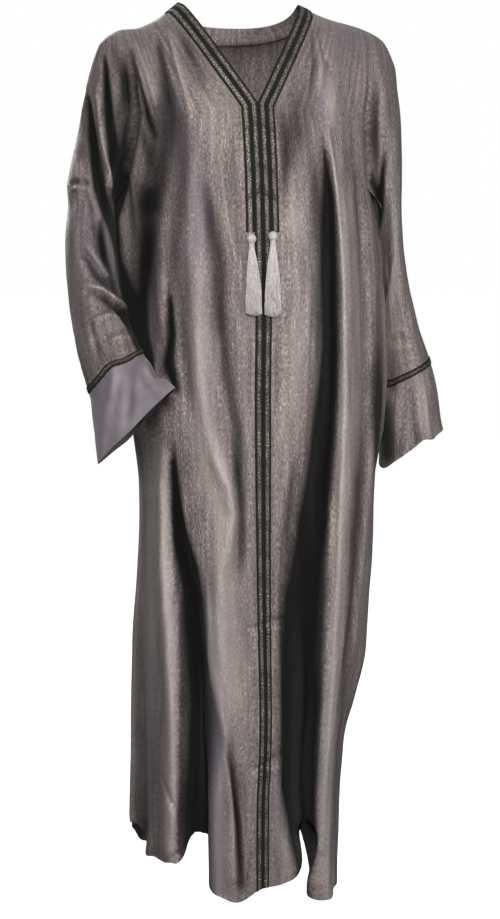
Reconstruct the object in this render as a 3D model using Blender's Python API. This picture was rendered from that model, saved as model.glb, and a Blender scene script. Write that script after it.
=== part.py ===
"""A full-length abaya with braided V neck and placket, shaped as it hangs on a standing wearer.

Metres, +Z up. The wearer faces -Y, so the wearer's right is at -X. The origin lies where the
shoulders carry the cloth, midway between them. A girth angle names each place round the body:
0 is the centre front, +90 the wearer's left side seam, 180 the centre back, -90 the right side.
"""

import math

import bmesh
import bpy
import numpy as np

WALL = 0.0018
SEAM_GAP = 0.0003
BRAID_ROW = 0.0133
BRAID_THICK = 0.0015
BRAID_LIFT = 0.0003
# Which way the x of each side points.
SIDES = {"right": -1, "left": 1}

ARMHOLE = -0.245
HEM = -1.36
HEM_EASE_START = -0.9
SQUARENESS = 2.4
UNDERARM_ANGLE = 73.0

NECK_POINT = (0.097, 0.033)
V_POINT = (0.0, -0.127)
V_FRACTION = 0.42
BACK_NECK_DROP = 0.046
BACK_NECK_DEPTH = 0.060
BACK_EDGE_DROP = 0.034
BACK_EDGE_DEPTH = 0.054
# How square the curve round the back of the neck is in height, across and in depth.
BACK_NECK_POWERS = (2.2, 0.9, 0.75)


def table(columns, rows):
    """A table with named columns: the column's name gives its numbers, first row first."""
    return dict(zip(columns.split(), np.array(rows, float).T))


# How much of its depth at the armholes' level the chest keeps at each level up to the shoulder.
CHEST = table(
    "level share",
    (
        (0.00, 1.000),
        (0.14, 0.970),
        (0.28, 0.922),
        (0.42, 0.855),
        (0.54, 0.775),
        (0.66, 0.670),
        (0.77, 0.550),
        (0.86, 0.430),
        (0.93, 0.310),
        (0.98, 0.175),
        (1.00, 0.000),
    ),
)

# The hanging body below the armholes. The sizes are half-widths and half-depths from x = 0, y = 0.
BODY = table(
    "height right left front back",
    (
        (-0.245, 0.203, 0.212, 0.128, 0.118),
        (-0.320, 0.195, 0.225, 0.134, 0.119),
        (-0.440, 0.184, 0.233, 0.142, 0.120),
        (-0.600, 0.175, 0.232, 0.150, 0.121),
        (-0.734, 0.163, 0.226, 0.154, 0.125),
        (-0.895, 0.167, 0.221, 0.160, 0.130),
        (-0.990, 0.172, 0.210, 0.165, 0.134),
        (-1.089, 0.173, 0.192, 0.172, 0.138),
        (-1.153, 0.173, 0.175, 0.176, 0.141),
        (-1.420, 0.174, 0.160, 0.188, 0.150),
    ),
)

HEM_LINE = table(
    "angle height",
    (
        (-180, -1.365),
        (-135, -1.352),
        (-90, -1.300),
        (-68, -1.318),
        (-54, -1.330),
        (-46, -1.324),
        (-40, -1.300),
        (-34, -1.285),
        (-28, -1.345),
        (-20, -1.372),
        (-12, -1.382),
        (0, -1.364),
        (11, -1.350),
        (19, -1.315),
        (25, -1.385),
        (38, -1.396),
        (60, -1.388),
        (90, -1.385),
        (135, -1.372),
        (180, -1.365),
    ),
)

# The top of each shoulder from the neck point outwards, and the outer side of the upper arm below it.
SHOULDER = {
    "right": table(
        "across height",
        (
            (0.097, 0.0330),
            (0.108, 0.0240),
            (0.120, 0.0145),
            (0.145, -0.0010),
            (0.168, -0.0095),
            (0.190, -0.0115),
            (0.206, -0.0184),
            (0.224, -0.0340),
            (0.232, -0.0514),
        ),
    ),
    "left": table(
        "across height",
        (
            (0.097, 0.0330),
            (0.110, 0.0285),
            (0.122, 0.0220),
            (0.155, 0.0105),
            (0.187, 0.0030),
            (0.217, -0.0070),
            (0.240, -0.0205),
            (0.253, -0.0423),
        ),
    ),
}
OUTER_ARM = {
    "right": table(
        "height across",
        (
            (-0.0514, 0.2318),
            (-0.0654, 0.2367),
            (-0.1245, 0.2515),
            (-0.1649, 0.2582),
            (-0.2133, 0.2698),
            (-0.2450, 0.2765),
        ),
    ),
    "left": table(
        "height across",
        (
            (-0.0423, 0.2532),
            (-0.0646, 0.2625),
            (-0.0966, 0.2665),
            (-0.1384, 0.2725),
            (-0.1690, 0.2745),
            (-0.2450, 0.2745),
        ),
    ),
}
ARM_CENTRE = {"right": (0.2405, 0.0), "left": (0.2410, 0.004)}
ARM_HALF_WIDTH = 0.035
ARM_HALF_DEPTH = 0.066
ARM_START_ANGLE = 40.0
SHOULDER_BONE = {"right": 0.190, "left": 0.205}
# Along the sloping shoulder a braid row takes less of x than its width.
BRAID_ON_SHOULDER = 0.86 * BRAID_ROW
# The shared places between the braid and the shoulder's bone.
SHOULDER_SPLITS = (0.34, 0.66, 1.0)
# Width, as a share of the girth, and depth of the rounded valley over each underarm.
FRONT_VALLEY = (0.13, -0.034)
BACK_VALLEY = (0.07, 0.030)
UNDERARM_CLEAR = 0.0024

# Each ring of a sleeve: its centre, its half-sizes front to back (deep) and side to side (wide),
# and how far the tube leans out of the vertical there, towards a heading that runs from -Y (0)
# round to the outside (90) or the inside (-90).
SLEEVE_COLUMNS = "height across forward deep wide lean heading"
SLEEVES = {
    "right": table(
        SLEEVE_COLUMNS,
        (
            (-0.285, 0.2400, 0.000, 0.066, 0.0360, 2, -60),
            (-0.330, 0.2415, -0.002, 0.065, 0.0395, 4, -60),
            (-0.380, 0.2400, 0.000, 0.063, 0.0425, 10, -60),
            (-0.425, 0.2385, 0.012, 0.060, 0.0445, 18, -60),
            (-0.468, 0.2350, 0.036, 0.056, 0.0465, 26, -60),
            (-0.508, 0.2290, 0.072, 0.049, 0.0490, 33, -62),
            (-0.546, 0.2215, 0.110, 0.040, 0.0520, 38, -65),
        ),
    ),
    "left": table(
        SLEEVE_COLUMNS,
        (
            (-0.285, 0.2495, -0.002, 0.066, 0.0265, 2, 90),
            (-0.340, 0.2575, -0.003, 0.067, 0.0255, 5, 90),
            (-0.390, 0.2640, -0.003, 0.066, 0.0270, 8, 90),
            (-0.440, 0.2700, -0.002, 0.065, 0.0300, 13, 90),
            (-0.490, 0.2775, 0.000, 0.063, 0.0360, 18, 90),
            (-0.530, 0.2840, 0.003, 0.061, 0.0415, 22, 90),
            (-0.560, 0.2880, 0.006, 0.059, 0.0445, 24, 90),
        ),
    ),
}
CUFFS = {
    "right": table(
        SLEEVE_COLUMNS,
        (
            (-0.546, 0.2215, 0.110, 0.040, 0.0520, 38, -65),
            (-0.566, 0.2160, 0.126, 0.040, 0.0600, 41, -65),
            (-0.592, 0.2090, 0.146, 0.038, 0.0710, 44, -65),
            (-0.621, 0.2010, 0.168, 0.035, 0.0830, 46, -65),
        ),
    ),
    "left": table(
        SLEEVE_COLUMNS,
        (
            (-0.560, 0.2880, 0.006, 0.059, 0.0445, 24, 90),
            (-0.590, 0.2890, 0.010, 0.061, 0.0490, 24, 90),
            (-0.630, 0.2905, 0.014, 0.064, 0.0560, 26, 90),
            (-0.680, 0.2925, 0.020, 0.068, 0.0620, 27, 90),
        ),
    ),
}

# The largest folds. Each row gives a height, the girth angle and half-width of the fold there,
# how far it stands out, or in where negative, and how much of that it slides along the girth.
CREASE_COLUMNS = "height angle width rise slide"
CREASES = tuple(
    table(CREASE_COLUMNS, rows)
    for rows in (
        # lobe of the skirt on the wearer's right and the deep valley beside it
        (
            (-0.66, -60, 7, 0.000, 0),
            (-0.80, -60, 8, 0.010, 0),
            (-1.09, -49, 8, 0.012, 0),
            (-1.42, -50, 7, 0.014, 0),
        ),
        (
            (-0.66, -64, 6, 0.000, 0),
            (-0.83, -49, 6, -0.014, 0),
            (-0.92, -37, 6, -0.024, 0),
            (-1.08, -29, 6, -0.040, 0),
            (-1.30, -33.5, 5, -0.085, 0),
            (-1.42, -33.5, 5, -0.100, 0),
        ),
        ((-0.64, -20, 6, 0.000, 0), (-0.88, -20, 6, 0.009, 0), (-1.42, -20, 6, 0.012, 0)),
        # the deep valley on the wearer's left of the placket and the tube of cloth beside it
        (
            (-0.70, 13, 5, 0.000, 0.0),
            (-0.90, 13, 5, -0.016, -0.3),
            (-1.05, 15, 5, -0.034, -0.5),
            (-1.30, 19, 4.5, -0.085, -0.6),
            (-1.42, 20, 4.5, -0.100, -0.6),
        ),
        ((-0.60, 32, 8, 0.000, 0), (-0.80, 31, 8, 0.010, 0), (-1.42, 39, 9, 0.016, 0)),
        # body front, left half of the wearer
        (
            (-0.18, 25, 6, 0.000, 0),
            (-0.27, 25, 6, -0.012, 0),
            (-0.50, 25, 6, -0.014, 0),
            (-0.70, 21, 6, -0.012, 0),
            (-0.85, 20, 6, 0.000, 0),
        ),
        ((-0.18, 33, 6, 0.000, 0), (-0.28, 33, 6, 0.009, 0), (-0.72, 33, 7, 0.009, 0)),
        ((-0.18, 52, 6, 0.000, 0), (-0.30, 51, 6, -0.010, 0), (-0.80, 49, 6, 0.000, 0)),
        # body front, right half of the wearer
        ((-0.25, -57, 7, 0.000, 0), (-0.38, -59, 7, -0.009, 0), (-0.62, -53, 7, 0.000, 0)),
        ((-0.25, -27, 7, 0.000, 0), (-0.40, -27, 7, 0.009, 0), (-0.66, -27, 7, 0.000, 0)),
        # the folds that run from the shoulders down between arm and body
        ((-0.05, -80, 6, 0.000, 0), (-0.12, -77, 6, -0.012, 0), (-0.40, -70, 6, 0.000, 0)),
        ((-0.06, 78, 6, 0.000, 0), (-0.14, 76, 6, -0.008, 0), (-0.40, 72, 6, 0.000, 0)),
        # the sides and the back, finished like the front
        ((-0.55, 78, 8, 0.000, 0), (-0.95, 78, 8, -0.010, 0), (-1.42, 76, 8, -0.022, 0)),
        ((-0.55, -84, 8, 0.000, 0), (-0.95, -84, 8, -0.006, 0), (-1.42, -82, 8, -0.014, 0)),
        ((-0.10, 180, 10, 0.000, 0), (-0.50, 180, 10, -0.006, 0), (-1.42, 181, 9, -0.024, 0)),
        ((-0.30, 158, 10, 0.000, 0), (-0.80, 160, 9, 0.010, 0), (-1.42, 162, 9, 0.020, 0)),
        ((-0.30, 203, 10, 0.000, 0), (-0.80, 201, 9, 0.010, 0), (-1.42, 199, 9, 0.020, 0)),
        ((-0.40, 137, 9, 0.000, 0), (-0.80, 139, 8, -0.010, 0), (-1.42, 142, 9, -0.034, 0)),
        ((-0.40, 224, 9, 0.000, 0), (-0.80, 221, 8, -0.010, 0), (-1.42, 219, 9, -0.032, 0)),
        ((-0.45, 115, 9, 0.000, 0), (-0.90, 116, 9, 0.010, 0), (-1.42, 119, 9, 0.016, 0)),
        ((-0.45, 244, 9, 0.000, 0), (-0.90, 243, 9, 0.009, 0), (-1.42, 241, 9, 0.015, 0)),
    )
)

# Columns of points, by girth angle. The first three of a front follow the edge at braid widths.
FRONT_ANGLES = (12, 16, 20, 24, 28, 33, 39, 46, 54, 63, UNDERARM_ANGLE)
SIDE_ANGLES = (81, 90)
BACK_SIDE_ANGLES = (90, 98)
BACK_ANGLES = (107, 115, 123, 131, 139, 147, 155, 163, 171.5, 180)
ARM_STEPS = 6
ARM_ANGLE_STEP = 8
# Of the front columns, those whose tops are also tops of back columns 115 and 123.
SHARED_TOPS = (24, 39)
# The first back column whose top lies on the neck braid, not on the shoulder.
NECK_ANGLE = 131
YOKE_FRACTIONS = (0.0, 0.14, 0.28, 0.42, 0.54, 0.66, 0.77, 0.86, 0.93, 0.98, 1.0)
FIRST_HEIGHTS = (-0.245, -0.285, -0.325)
SKIRT_STEPS = 23
# The skirt row at which the outer braid rows end and the tassels hang.
OUTER_BRAID_END = 2
# Where the folds fade: up to the shoulder, out along the arm in front, and along both arms behind.
SHOULDER_FADE = 0.3
BRAID_WINDOWS = (0.0, 0.0, 0.3)
FRONT_ARM_FADE = 0.2
BACK_ARM_FADE = 0.12

TASSEL_ACROSS = 0.017
TASSEL_CLEAR = 0.0005
HEAD_RADIUS = 0.0068
HEAD_HEIGHT = 0.0076
HEAD_STEPS = 7
HEAD_CORNERS = 12
# The waist under the head, measured down from where the ball ends.
WAIST = table("drop radius", ((0.0, 0.0046), (0.0035, 0.0042), (0.0075, 0.0046)))
WAIST_TOP = 0.95 * HEAD_RADIUS
STRANDS = 34
STRAND_LENGTH = 0.116
STRAND_SHORTER = 0.012
STRAND_SUNK = 0.002
STRANDS_AT_ROOT = 0.0036
STRANDS_WIDE = 0.0145
STRANDS_DEEP = 0.0055
# Along a strand: how far out it has spread, and its own radius.
STRAND_FORM = table("share spread radius", ((0.0, 0.0, 0.0004), (0.25, 0.33, 0.00053), (1.0, 1.0, 0.0009)))
GOLDEN_ANGLE = math.pi * (3 - math.sqrt(5))


def smooth(knots, values, at):
    """Reads values(knots) at a place along a curve that keeps to the table's rises and falls."""
    knots = np.asarray(knots, float)
    values = np.asarray(values, float)
    if knots[0] > knots[-1]:
        knots = knots[::-1]
        values = values[::-1]
    at = np.clip(at, knots[0], knots[-1])
    step = np.diff(knots)
    grade = np.diff(values) / step
    slope = np.concatenate([grade[:1], np.zeros(len(step) - 1), grade[-1:]])
    same_way = grade[:-1] * grade[1:] > 0
    total = np.where(same_way, grade[:-1] + grade[1:], 1.0)
    slope[1:-1] = np.where(same_way, 2 * grade[:-1] * grade[1:] / total, 0.0)
    row = np.clip(np.searchsorted(knots, at, side="right") - 1, 0, len(step) - 1)
    part = (at - knots[row]) / step[row]
    rest = 1 - part
    return (
        values[row] * rest * rest * (1 + 2 * part)
        + values[row + 1] * part * part * (1 + 2 * rest)
        + step[row] * part * rest * (slope[row] * rest - slope[row + 1] * part)
    )


def ease(part):
    part = np.clip(part, 0.0, 1.0)
    return part * part * (3 - 2 * part)


def powered(value, power):
    return np.sign(value) * np.abs(value) ** power


def body_point(angle, height):
    """A point of the hanging body before its folds."""
    turn = np.radians(angle)
    across = np.where(
        np.sin(turn) < 0,
        smooth(BODY["height"], BODY["right"], height),
        smooth(BODY["height"], BODY["left"], height),
    )
    deep = np.where(
        np.cos(turn) > 0,
        smooth(BODY["height"], BODY["front"], height),
        smooth(BODY["height"], BODY["back"], height),
    )
    power = 2 / SQUARENESS
    x = across * powered(np.sin(turn), power)
    y = -deep * powered(np.cos(turn), power)
    return np.stack(np.broadcast_arrays(x, y, height), -1)


def angle_at(across, height, side):
    """The girth angle on the front at a distance across from the centre front."""
    half = smooth(BODY["height"], BODY[side], height)
    return SIDES[side] * np.degrees(np.arcsin((across / half) ** (SQUARENESS / 2)))


def crease_moves(angle, height):
    """How far all the folds together move a point out of the cloth, and along the girth."""
    rise = np.zeros(np.broadcast(angle, height).shape)
    slide = np.zeros_like(rise)
    for crease in CREASES:
        keys = crease["height"]
        away = angle - smooth(keys, crease["angle"], height)
        away = (away + 180) % 360 - 180
        share = np.exp(-((away / smooth(keys, crease["width"], height)) ** 2))
        reach = (height <= keys[0]) & (height >= keys[-1])
        one = np.where(reach, smooth(keys, crease["rise"], height) * share, 0.0)
        rise += one
        slide += one * smooth(keys, crease["slide"], height)
    return rise, slide


def hem_height(angle):
    wrapped = (np.asarray(angle, float) + 180) % 360 - 180
    return smooth(HEM_LINE["angle"], HEM_LINE["height"], wrapped)


def row_heights():
    below = np.linspace(FIRST_HEIGHTS[-1], HEM, SKIRT_STEPS + 1)[1:]
    return np.concatenate([FIRST_HEIGHTS, below])


def eased_height(nominal, angle):
    """A row's height: level at the waist, and following the hem's own line lower down."""
    share = ease((HEM_EASE_START - nominal) / (HEM_EASE_START - HEM))
    return nominal + (hem_height(angle) - HEM) * share


def shoulder_point(side, across):
    height = smooth(SHOULDER[side]["across"], SHOULDER[side]["height"], across)
    return np.array([SIDES[side] * across, 0.0, float(height)])


def outer_point(side, fraction):
    """A point of the upper arm's outer side, from the armhole (0) to the shoulder tip (1)."""
    line = OUTER_ARM[side]
    height = ARMHOLE + fraction * (line["height"][0] - ARMHOLE)
    across = smooth(line["height"], line["across"], height)
    depth = ARM_CENTRE[side][1] * (1 - fraction)
    return np.array([SIDES[side] * float(across), depth, height])


def arm_arc(side, facing):
    """The armhole seam from the underarm to the outer side: facing is -1 in front, 1 behind."""
    angle = UNDERARM_ANGLE if facing < 0 else 180 - UNDERARM_ANGLE
    start = body_point(SIDES[side] * angle, ARMHOLE)
    across, depth = ARM_CENTRE[side]
    points = []
    for step in range(1, ARM_STEPS + 1):
        share = step / ARM_STEPS
        lead = (1 - share) ** 2
        turn = math.radians(ARM_START_ANGLE + share * (180 - ARM_START_ANGLE))
        first = math.radians(ARM_START_ANGLE)
        place = np.array(
            [
                SIDES[side] * (across - ARM_HALF_WIDTH * math.cos(turn)),
                depth + facing * ARM_HALF_DEPTH * math.sin(turn),
                ARMHOLE,
            ]
        )
        origin = np.array(
            [
                SIDES[side] * (across - ARM_HALF_WIDTH * math.cos(first)),
                depth + facing * ARM_HALF_DEPTH * math.sin(first),
                ARMHOLE,
            ]
        )
        points.append(place + (start - origin) * lead)
    points[-1] = outer_point(side, 0.0)
    return np.array(points)


def shoulder_tops(side):
    """Places across the shoulder's top, shared by front and back: the braid edges, two more, the bone."""
    start = NECK_POINT[0]
    inner = [start + row * BRAID_ON_SHOULDER for row in (0, 1, 2)]
    left = SHOULDER_BONE[side] - inner[-1]
    return inner + [inner[-1] + left * share for share in SHOULDER_SPLITS]


def arm_tops(side):
    start = SHOULDER_BONE[side]
    end = SHOULDER[side]["across"][-1]
    return [start + (end - start) * step / ARM_STEPS for step in range(1, ARM_STEPS + 1)]


def neck_edge(fraction):
    """The front edge (across, depth, height) from the armhole's level up the V to the neck point."""
    depth = -BODY["front"][0] * float(smooth(CHEST["level"], CHEST["share"], fraction))
    if fraction <= V_FRACTION:
        share = fraction / V_FRACTION
        return np.array([0.0, depth, ARMHOLE + share * (V_POINT[1] - ARMHOLE)])
    share = (fraction - V_FRACTION) / (1 - V_FRACTION)
    rise = NECK_POINT[1] - V_POINT[1]
    return np.array([NECK_POINT[0] * share, depth, V_POINT[1] + rise * share])


def edge_side(fraction):
    """Which way (across, height) a step of 1 from the front edge into the cloth goes."""
    rise = NECK_POINT[1] - V_POINT[1]
    length = math.hypot(NECK_POINT[0], rise)
    slant = np.array([rise / length, -NECK_POINT[0] / length])
    if fraction < V_FRACTION - 1e-6:
        return np.array([1.0, 0.0])
    if fraction > V_FRACTION + 1e-6:
        return slant
    middle = slant + np.array([1.0, 0.0])
    middle /= np.linalg.norm(middle)
    return middle / middle[0]


def fill(bottom, top, near, far, across, depths):
    """A patch between four edges, with the share of the bottom's depth that each row keeps."""
    rows = np.asarray(YOKE_FRACTIONS)[:, None, None]
    columns = np.asarray(across)[None, :, None]
    level = rows * np.ones_like(columns)
    kept = np.asarray(depths)[:, None, None] * np.ones_like(columns)
    up = np.concatenate([level, 1 - kept, level], axis=2)
    plain = bottom[None] * (1 - up) + top[None] * up
    near_gap = near[:, None] - plain[:, :1]
    far_gap = far[:, None] - plain[:, -1:]
    return plain + near_gap * (1 - columns) + far_gap * columns


def girth_shares(points):
    steps = np.linalg.norm(np.diff(points, axis=0), axis=1)
    travelled = np.concatenate([[0], np.cumsum(steps)])
    return travelled / travelled[-1]


def soften_underarm(patch, shares, underarm_shares, width, depth_there):
    """Fades the valley between arm and body as it rises to the shoulder, edges left in place."""
    rows = np.array(YOKE_FRACTIONS)[:, None]
    rising = ease(rows / 0.7) * np.sqrt(1 - rows**2)
    for underarm in underarm_shares:
        near = np.exp(-(((shares[None] - underarm) / width) ** 2))
        near[:, [0, -1]] = 0.0
        patch[:, :, 1] += depth_there * rising * near


class Panel:
    """Points on a grid of rows and columns that may have more than one block, and its quads."""

    def __init__(self, name):
        self.name = name
        self.points = []
        self.labels = []
        self.windows = []
        self.quads = []

    def add(self, points, angles, windows):
        first = len(self.points)
        self.points.extend(points)
        self.labels.extend(angles)
        self.windows.extend(windows)
        return np.arange(first, first + len(points))

    def join(self, index, flip=False):
        """Adds the quads between rows, top row first. Each is later split from its first corner."""
        for above, below in zip(index[:-1], index[1:]):
            for k in range(len(above) - 1):
                quad = (above[k], above[k + 1], below[k + 1], below[k])
                if flip:
                    quad = (above[k], below[k], below[k + 1], above[k + 1])
                self.quads.append(quad)

    def pull(self, line, inner, distance):
        """Moves the points of an edge a little towards the line of points inside it."""
        for at, towards in zip(line, inner):
            step = self.points[towards] - self.points[at]
            self.points[at] = self.points[at] + step / np.linalg.norm(step) * distance


def front_columns(side):
    """Bottom points, labels and tops of the front yoke's columns, from the centre to the arm."""
    sign = SIDES[side]
    angles = [float(angle_at(count * BRAID_ROW, ARMHOLE, side)) for count in (0, 1, 2)]
    angles += [sign * angle for angle in FRONT_ANGLES]
    bottom = [body_point(angle, ARMHOLE) for angle in angles]
    knots = shoulder_tops(side)
    known = (angles[2], sign * SHARED_TOPS[0], sign * SHARED_TOPS[1], sign * UNDERARM_ANGLE)
    tops = knots[:2]
    ordered = np.abs(known)
    for angle in angles[2:]:
        tops.append(float(np.interp(abs(angle), ordered, knots[2:])))
    return np.array(bottom), angles, tops


def on_shoulder(side, tops):
    """Points on the shoulder's top, straight between the places that front and back share."""
    knots = shoulder_tops(side) + arm_tops(side)
    fixed = np.array([shoulder_point(side, knot) for knot in knots])
    return np.stack(
        [np.interp(tops, knots, fixed[:, axis]) for axis in range(3)],
        axis=1,
    )


def make_front(side):
    """One front half: the skirt and chest, and the yoke with the front of the upper arm."""
    sign = SIDES[side]
    panel = Panel("front_" + side)
    bottom, angles, tops = front_columns(side)
    torso = len(angles)
    arc = arm_arc(side, -1)
    arm_steps = np.arange(1, ARM_STEPS + 1)
    arm_angles = list(sign * (UNDERARM_ANGLE + ARM_ANGLE_STEP * arm_steps))
    tops = tops + arm_tops(side)
    top = on_shoulder(side, tops)
    bottom = np.concatenate([bottom, arc])

    edge = np.array([neck_edge(fraction) for fraction in YOKE_FRACTIONS])
    edge[:, 0] *= sign
    ways = np.array([edge_side(fraction) for fraction in YOKE_FRACTIONS])
    strips = []
    for count in (0, 1, 2):
        strip = edge.copy()
        strip[:, 0] += sign * ways[:, 0] * BRAID_ROW * count
        strip[:, 2] += ways[:, 1] * BRAID_ROW * count
        strip[0] = bottom[count]
        strip[-1] = top[count]
        strips.append(strip)
    outer = np.array([outer_point(side, fraction) for fraction in YOKE_FRACTIONS])
    top[-1] = outer[-1]
    shares = girth_shares(bottom[2:])
    depths = smooth(CHEST["level"], CHEST["share"], np.array(YOKE_FRACTIONS))
    patch = fill(bottom[2:], top[2:], strips[2], outer, shares, depths)
    soften_underarm(patch, shares, [shares[torso - 3]], *FRONT_VALLEY)
    yoke = np.concatenate([np.stack(strips[:2], axis=1), patch], axis=1)

    yoke_index = []
    labels = angles + arm_angles
    fading = ease((1 - shares[1:]) / FRONT_ARM_FADE)
    across_windows = np.concatenate([BRAID_WINDOWS, fading])
    for row, fraction in enumerate(YOKE_FRACTIONS):
        upper = ease((1 - fraction) / SHOULDER_FADE)
        yoke_index.append(panel.add(list(yoke[row]), labels, list(across_windows * upper)))

    heights = row_heights()
    skirt_index = [np.array(list(yoke_index[0][:torso]))]
    side_angles = [sign * angle for angle in SIDE_ANGLES]
    first_side = panel.add(
        [body_point(angle, ARMHOLE) for angle in side_angles], side_angles, [1.0, 1.0]
    )
    skirt_index[0] = np.concatenate([skirt_index[0], first_side])
    for nominal in heights[1:]:
        row_angles = [float(angle_at(count * BRAID_ROW, nominal, side)) for count in (0, 1, 2)]
        row_angles += [sign * angle for angle in FRONT_ANGLES] + side_angles
        points = [body_point(a, float(eased_height(nominal, a))) for a in row_angles]
        windows = list(BRAID_WINDOWS) + [1.0] * (len(row_angles) - len(BRAID_WINDOWS))
        skirt_index.append(panel.add(points, row_angles, windows))

    panel.join(yoke_index[::-1], flip=side == "left")
    panel.join(skirt_index, flip=side == "left")
    panel.yoke = np.array(yoke_index)
    panel.skirt = np.array(skirt_index)
    panel.torso = torso
    return panel


def neck_ring(step):
    """Points round the back of the neck from the left shoulder to the right, step rows off the edge."""
    across = shoulder_tops("left")[step]
    across_right = shoulder_tops("right")[step]
    drop = BACK_EDGE_DROP + (BACK_NECK_DROP - BACK_EDGE_DROP) * step / 2
    deep = BACK_EDGE_DEPTH + (BACK_NECK_DEPTH - BACK_EDGE_DEPTH) * step / 2
    first = shoulder_point("left", across)
    last = shoulder_point("right", across_right)
    points = []
    count = 2 * sum(angle >= NECK_ANGLE for angle in BACK_ANGLES) - 1
    high, wide, far = BACK_NECK_POWERS
    for place in np.linspace(1, -1, count):
        share = 1 - abs(place) ** high
        end = first if place > 0 else last
        x = end[0] * math.sin(abs(place) * math.pi / 2) ** wide
        points.append([x, deep * share**far, end[2] - drop * share])
    return np.array(points)


def make_back():
    """The back: skirt, yoke and the backs of both upper arms, in one piece."""
    panel = Panel("back")
    full = list(BACK_ANGLES) + [360 - angle for angle in BACK_ANGLES[-2::-1]]
    torso_points = [body_point(angle, ARMHOLE) for angle in full]
    left_arc = arm_arc("left", 1)[::-1]
    right_arc = arm_arc("right", 1)
    bottom = np.concatenate([left_arc, torso_points, right_arc])
    arm_steps = np.arange(1, ARM_STEPS + 1)
    labels = list(full[0] - ARM_ANGLE_STEP * arm_steps[::-1]) + full
    labels += list(full[-1] + ARM_ANGLE_STEP * arm_steps)

    rings = [neck_ring(step) for step in (0, 1, 2)]
    neck_start = BACK_ANGLES.index(NECK_ANGLE)
    left_tops = on_shoulder("left", (arm_tops("left")[::-1] + shoulder_tops("left")[:2:-1]))
    right_tops = on_shoulder("right", (shoulder_tops("right")[3:] + arm_tops("right")))
    top = np.concatenate([left_tops, rings[2], right_tops])
    left_outer = np.array([outer_point("left", fraction) for fraction in YOKE_FRACTIONS])
    right_outer = np.array([outer_point("right", fraction) for fraction in YOKE_FRACTIONS])
    top[0] = left_outer[-1]
    top[-1] = right_outer[-1]
    shares = girth_shares(bottom)
    depths = np.sqrt(1 - np.array(YOKE_FRACTIONS) ** 2)
    patch = fill(bottom, top, left_outer, right_outer, shares, depths)
    soften_underarm(patch, shares, shares[[ARM_STEPS, -1 - ARM_STEPS]], *BACK_VALLEY)

    windows = ease(shares / BACK_ARM_FADE) * ease((1 - shares) / BACK_ARM_FADE)
    yoke_index = []
    for row, fraction in enumerate(YOKE_FRACTIONS):
        upper = ease((1 - fraction) / SHOULDER_FADE)
        yoke_index.append(panel.add(list(patch[row]), labels, list(windows * upper)))
    neck_columns = slice(ARM_STEPS + neck_start, ARM_STEPS + neck_start + len(rings[2]))
    neck_index = [yoke_index[-1][neck_columns]]
    for ring in (rings[1], rings[0]):
        neck_index.append(panel.add(list(ring), [180.0] * len(ring), [0.0] * len(ring)))

    left_side = list(BACK_SIDE_ANGLES)
    right_side = [360 - angle for angle in BACK_SIDE_ANGLES[::-1]]
    skirt_angles = left_side + full + right_side
    first_left = panel.add([body_point(a, ARMHOLE) for a in left_side], left_side, [1.0, 1.0])
    first_right = panel.add([body_point(a, ARMHOLE) for a in right_side], right_side, [1.0, 1.0])
    torso_index = yoke_index[0][ARM_STEPS:-ARM_STEPS]
    skirt_index = [np.concatenate([first_left, torso_index, first_right])]
    for nominal in row_heights()[1:]:
        points = [body_point(a, float(eased_height(nominal, a))) for a in skirt_angles]
        skirt_index.append(panel.add(points, skirt_angles, [1.0] * len(points)))

    panel.join(yoke_index[::-1], flip=True)
    panel.join(neck_index[::-1], flip=True)
    panel.join(skirt_index, flip=True)
    panel.yoke = np.array(yoke_index)
    panel.neck = np.array(neck_index)
    panel.skirt = np.array(skirt_index)
    return panel


def ring_points(rings, row, side, turns):
    """One ring of a sleeve, at angles from the inner side (0) over the front (90)."""
    sign = SIDES[side]
    lean = math.radians(rings["lean"][row])
    heading = math.radians(rings["heading"][row]) * sign
    along = np.array(
        [
            math.sin(lean) * math.sin(heading),
            -math.sin(lean) * math.cos(heading),
            -math.cos(lean),
        ]
    )
    ahead = np.array([0.0, -1.0, 0.0])
    ahead -= along * (ahead @ along)
    ahead /= np.linalg.norm(ahead)
    inner = sign * np.cross(along, ahead)
    centre = np.array(
        [sign * rings["across"][row], -rings["forward"][row], rings["height"][row]]
    )
    angle = np.radians(turns)[:, None]
    return (
        centre
        + ahead * rings["deep"][row] * np.sin(angle)
        + inner * rings["wide"][row] * np.cos(angle)
    )


def armhole_ring(side):
    """The armhole seam all round: underarm front, front arc, back arc, underarm back, inner side."""
    sign = SIDES[side]
    front = arm_arc(side, -1)
    back = arm_arc(side, 1)
    inner_angles = [180 - UNDERARM_ANGLE, *BACK_SIDE_ANGLES[::-1], SIDE_ANGLES[0], UNDERARM_ANGLE]
    inner = np.array([body_point(sign * angle, ARMHOLE) for angle in inner_angles])
    away = inner - np.array([0.0, 0.0, ARMHOLE])
    away /= np.linalg.norm(away, axis=1)[:, None]
    inner = inner + away * UNDERARM_CLEAR
    return np.concatenate([front, back[-2::-1], inner])


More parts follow.
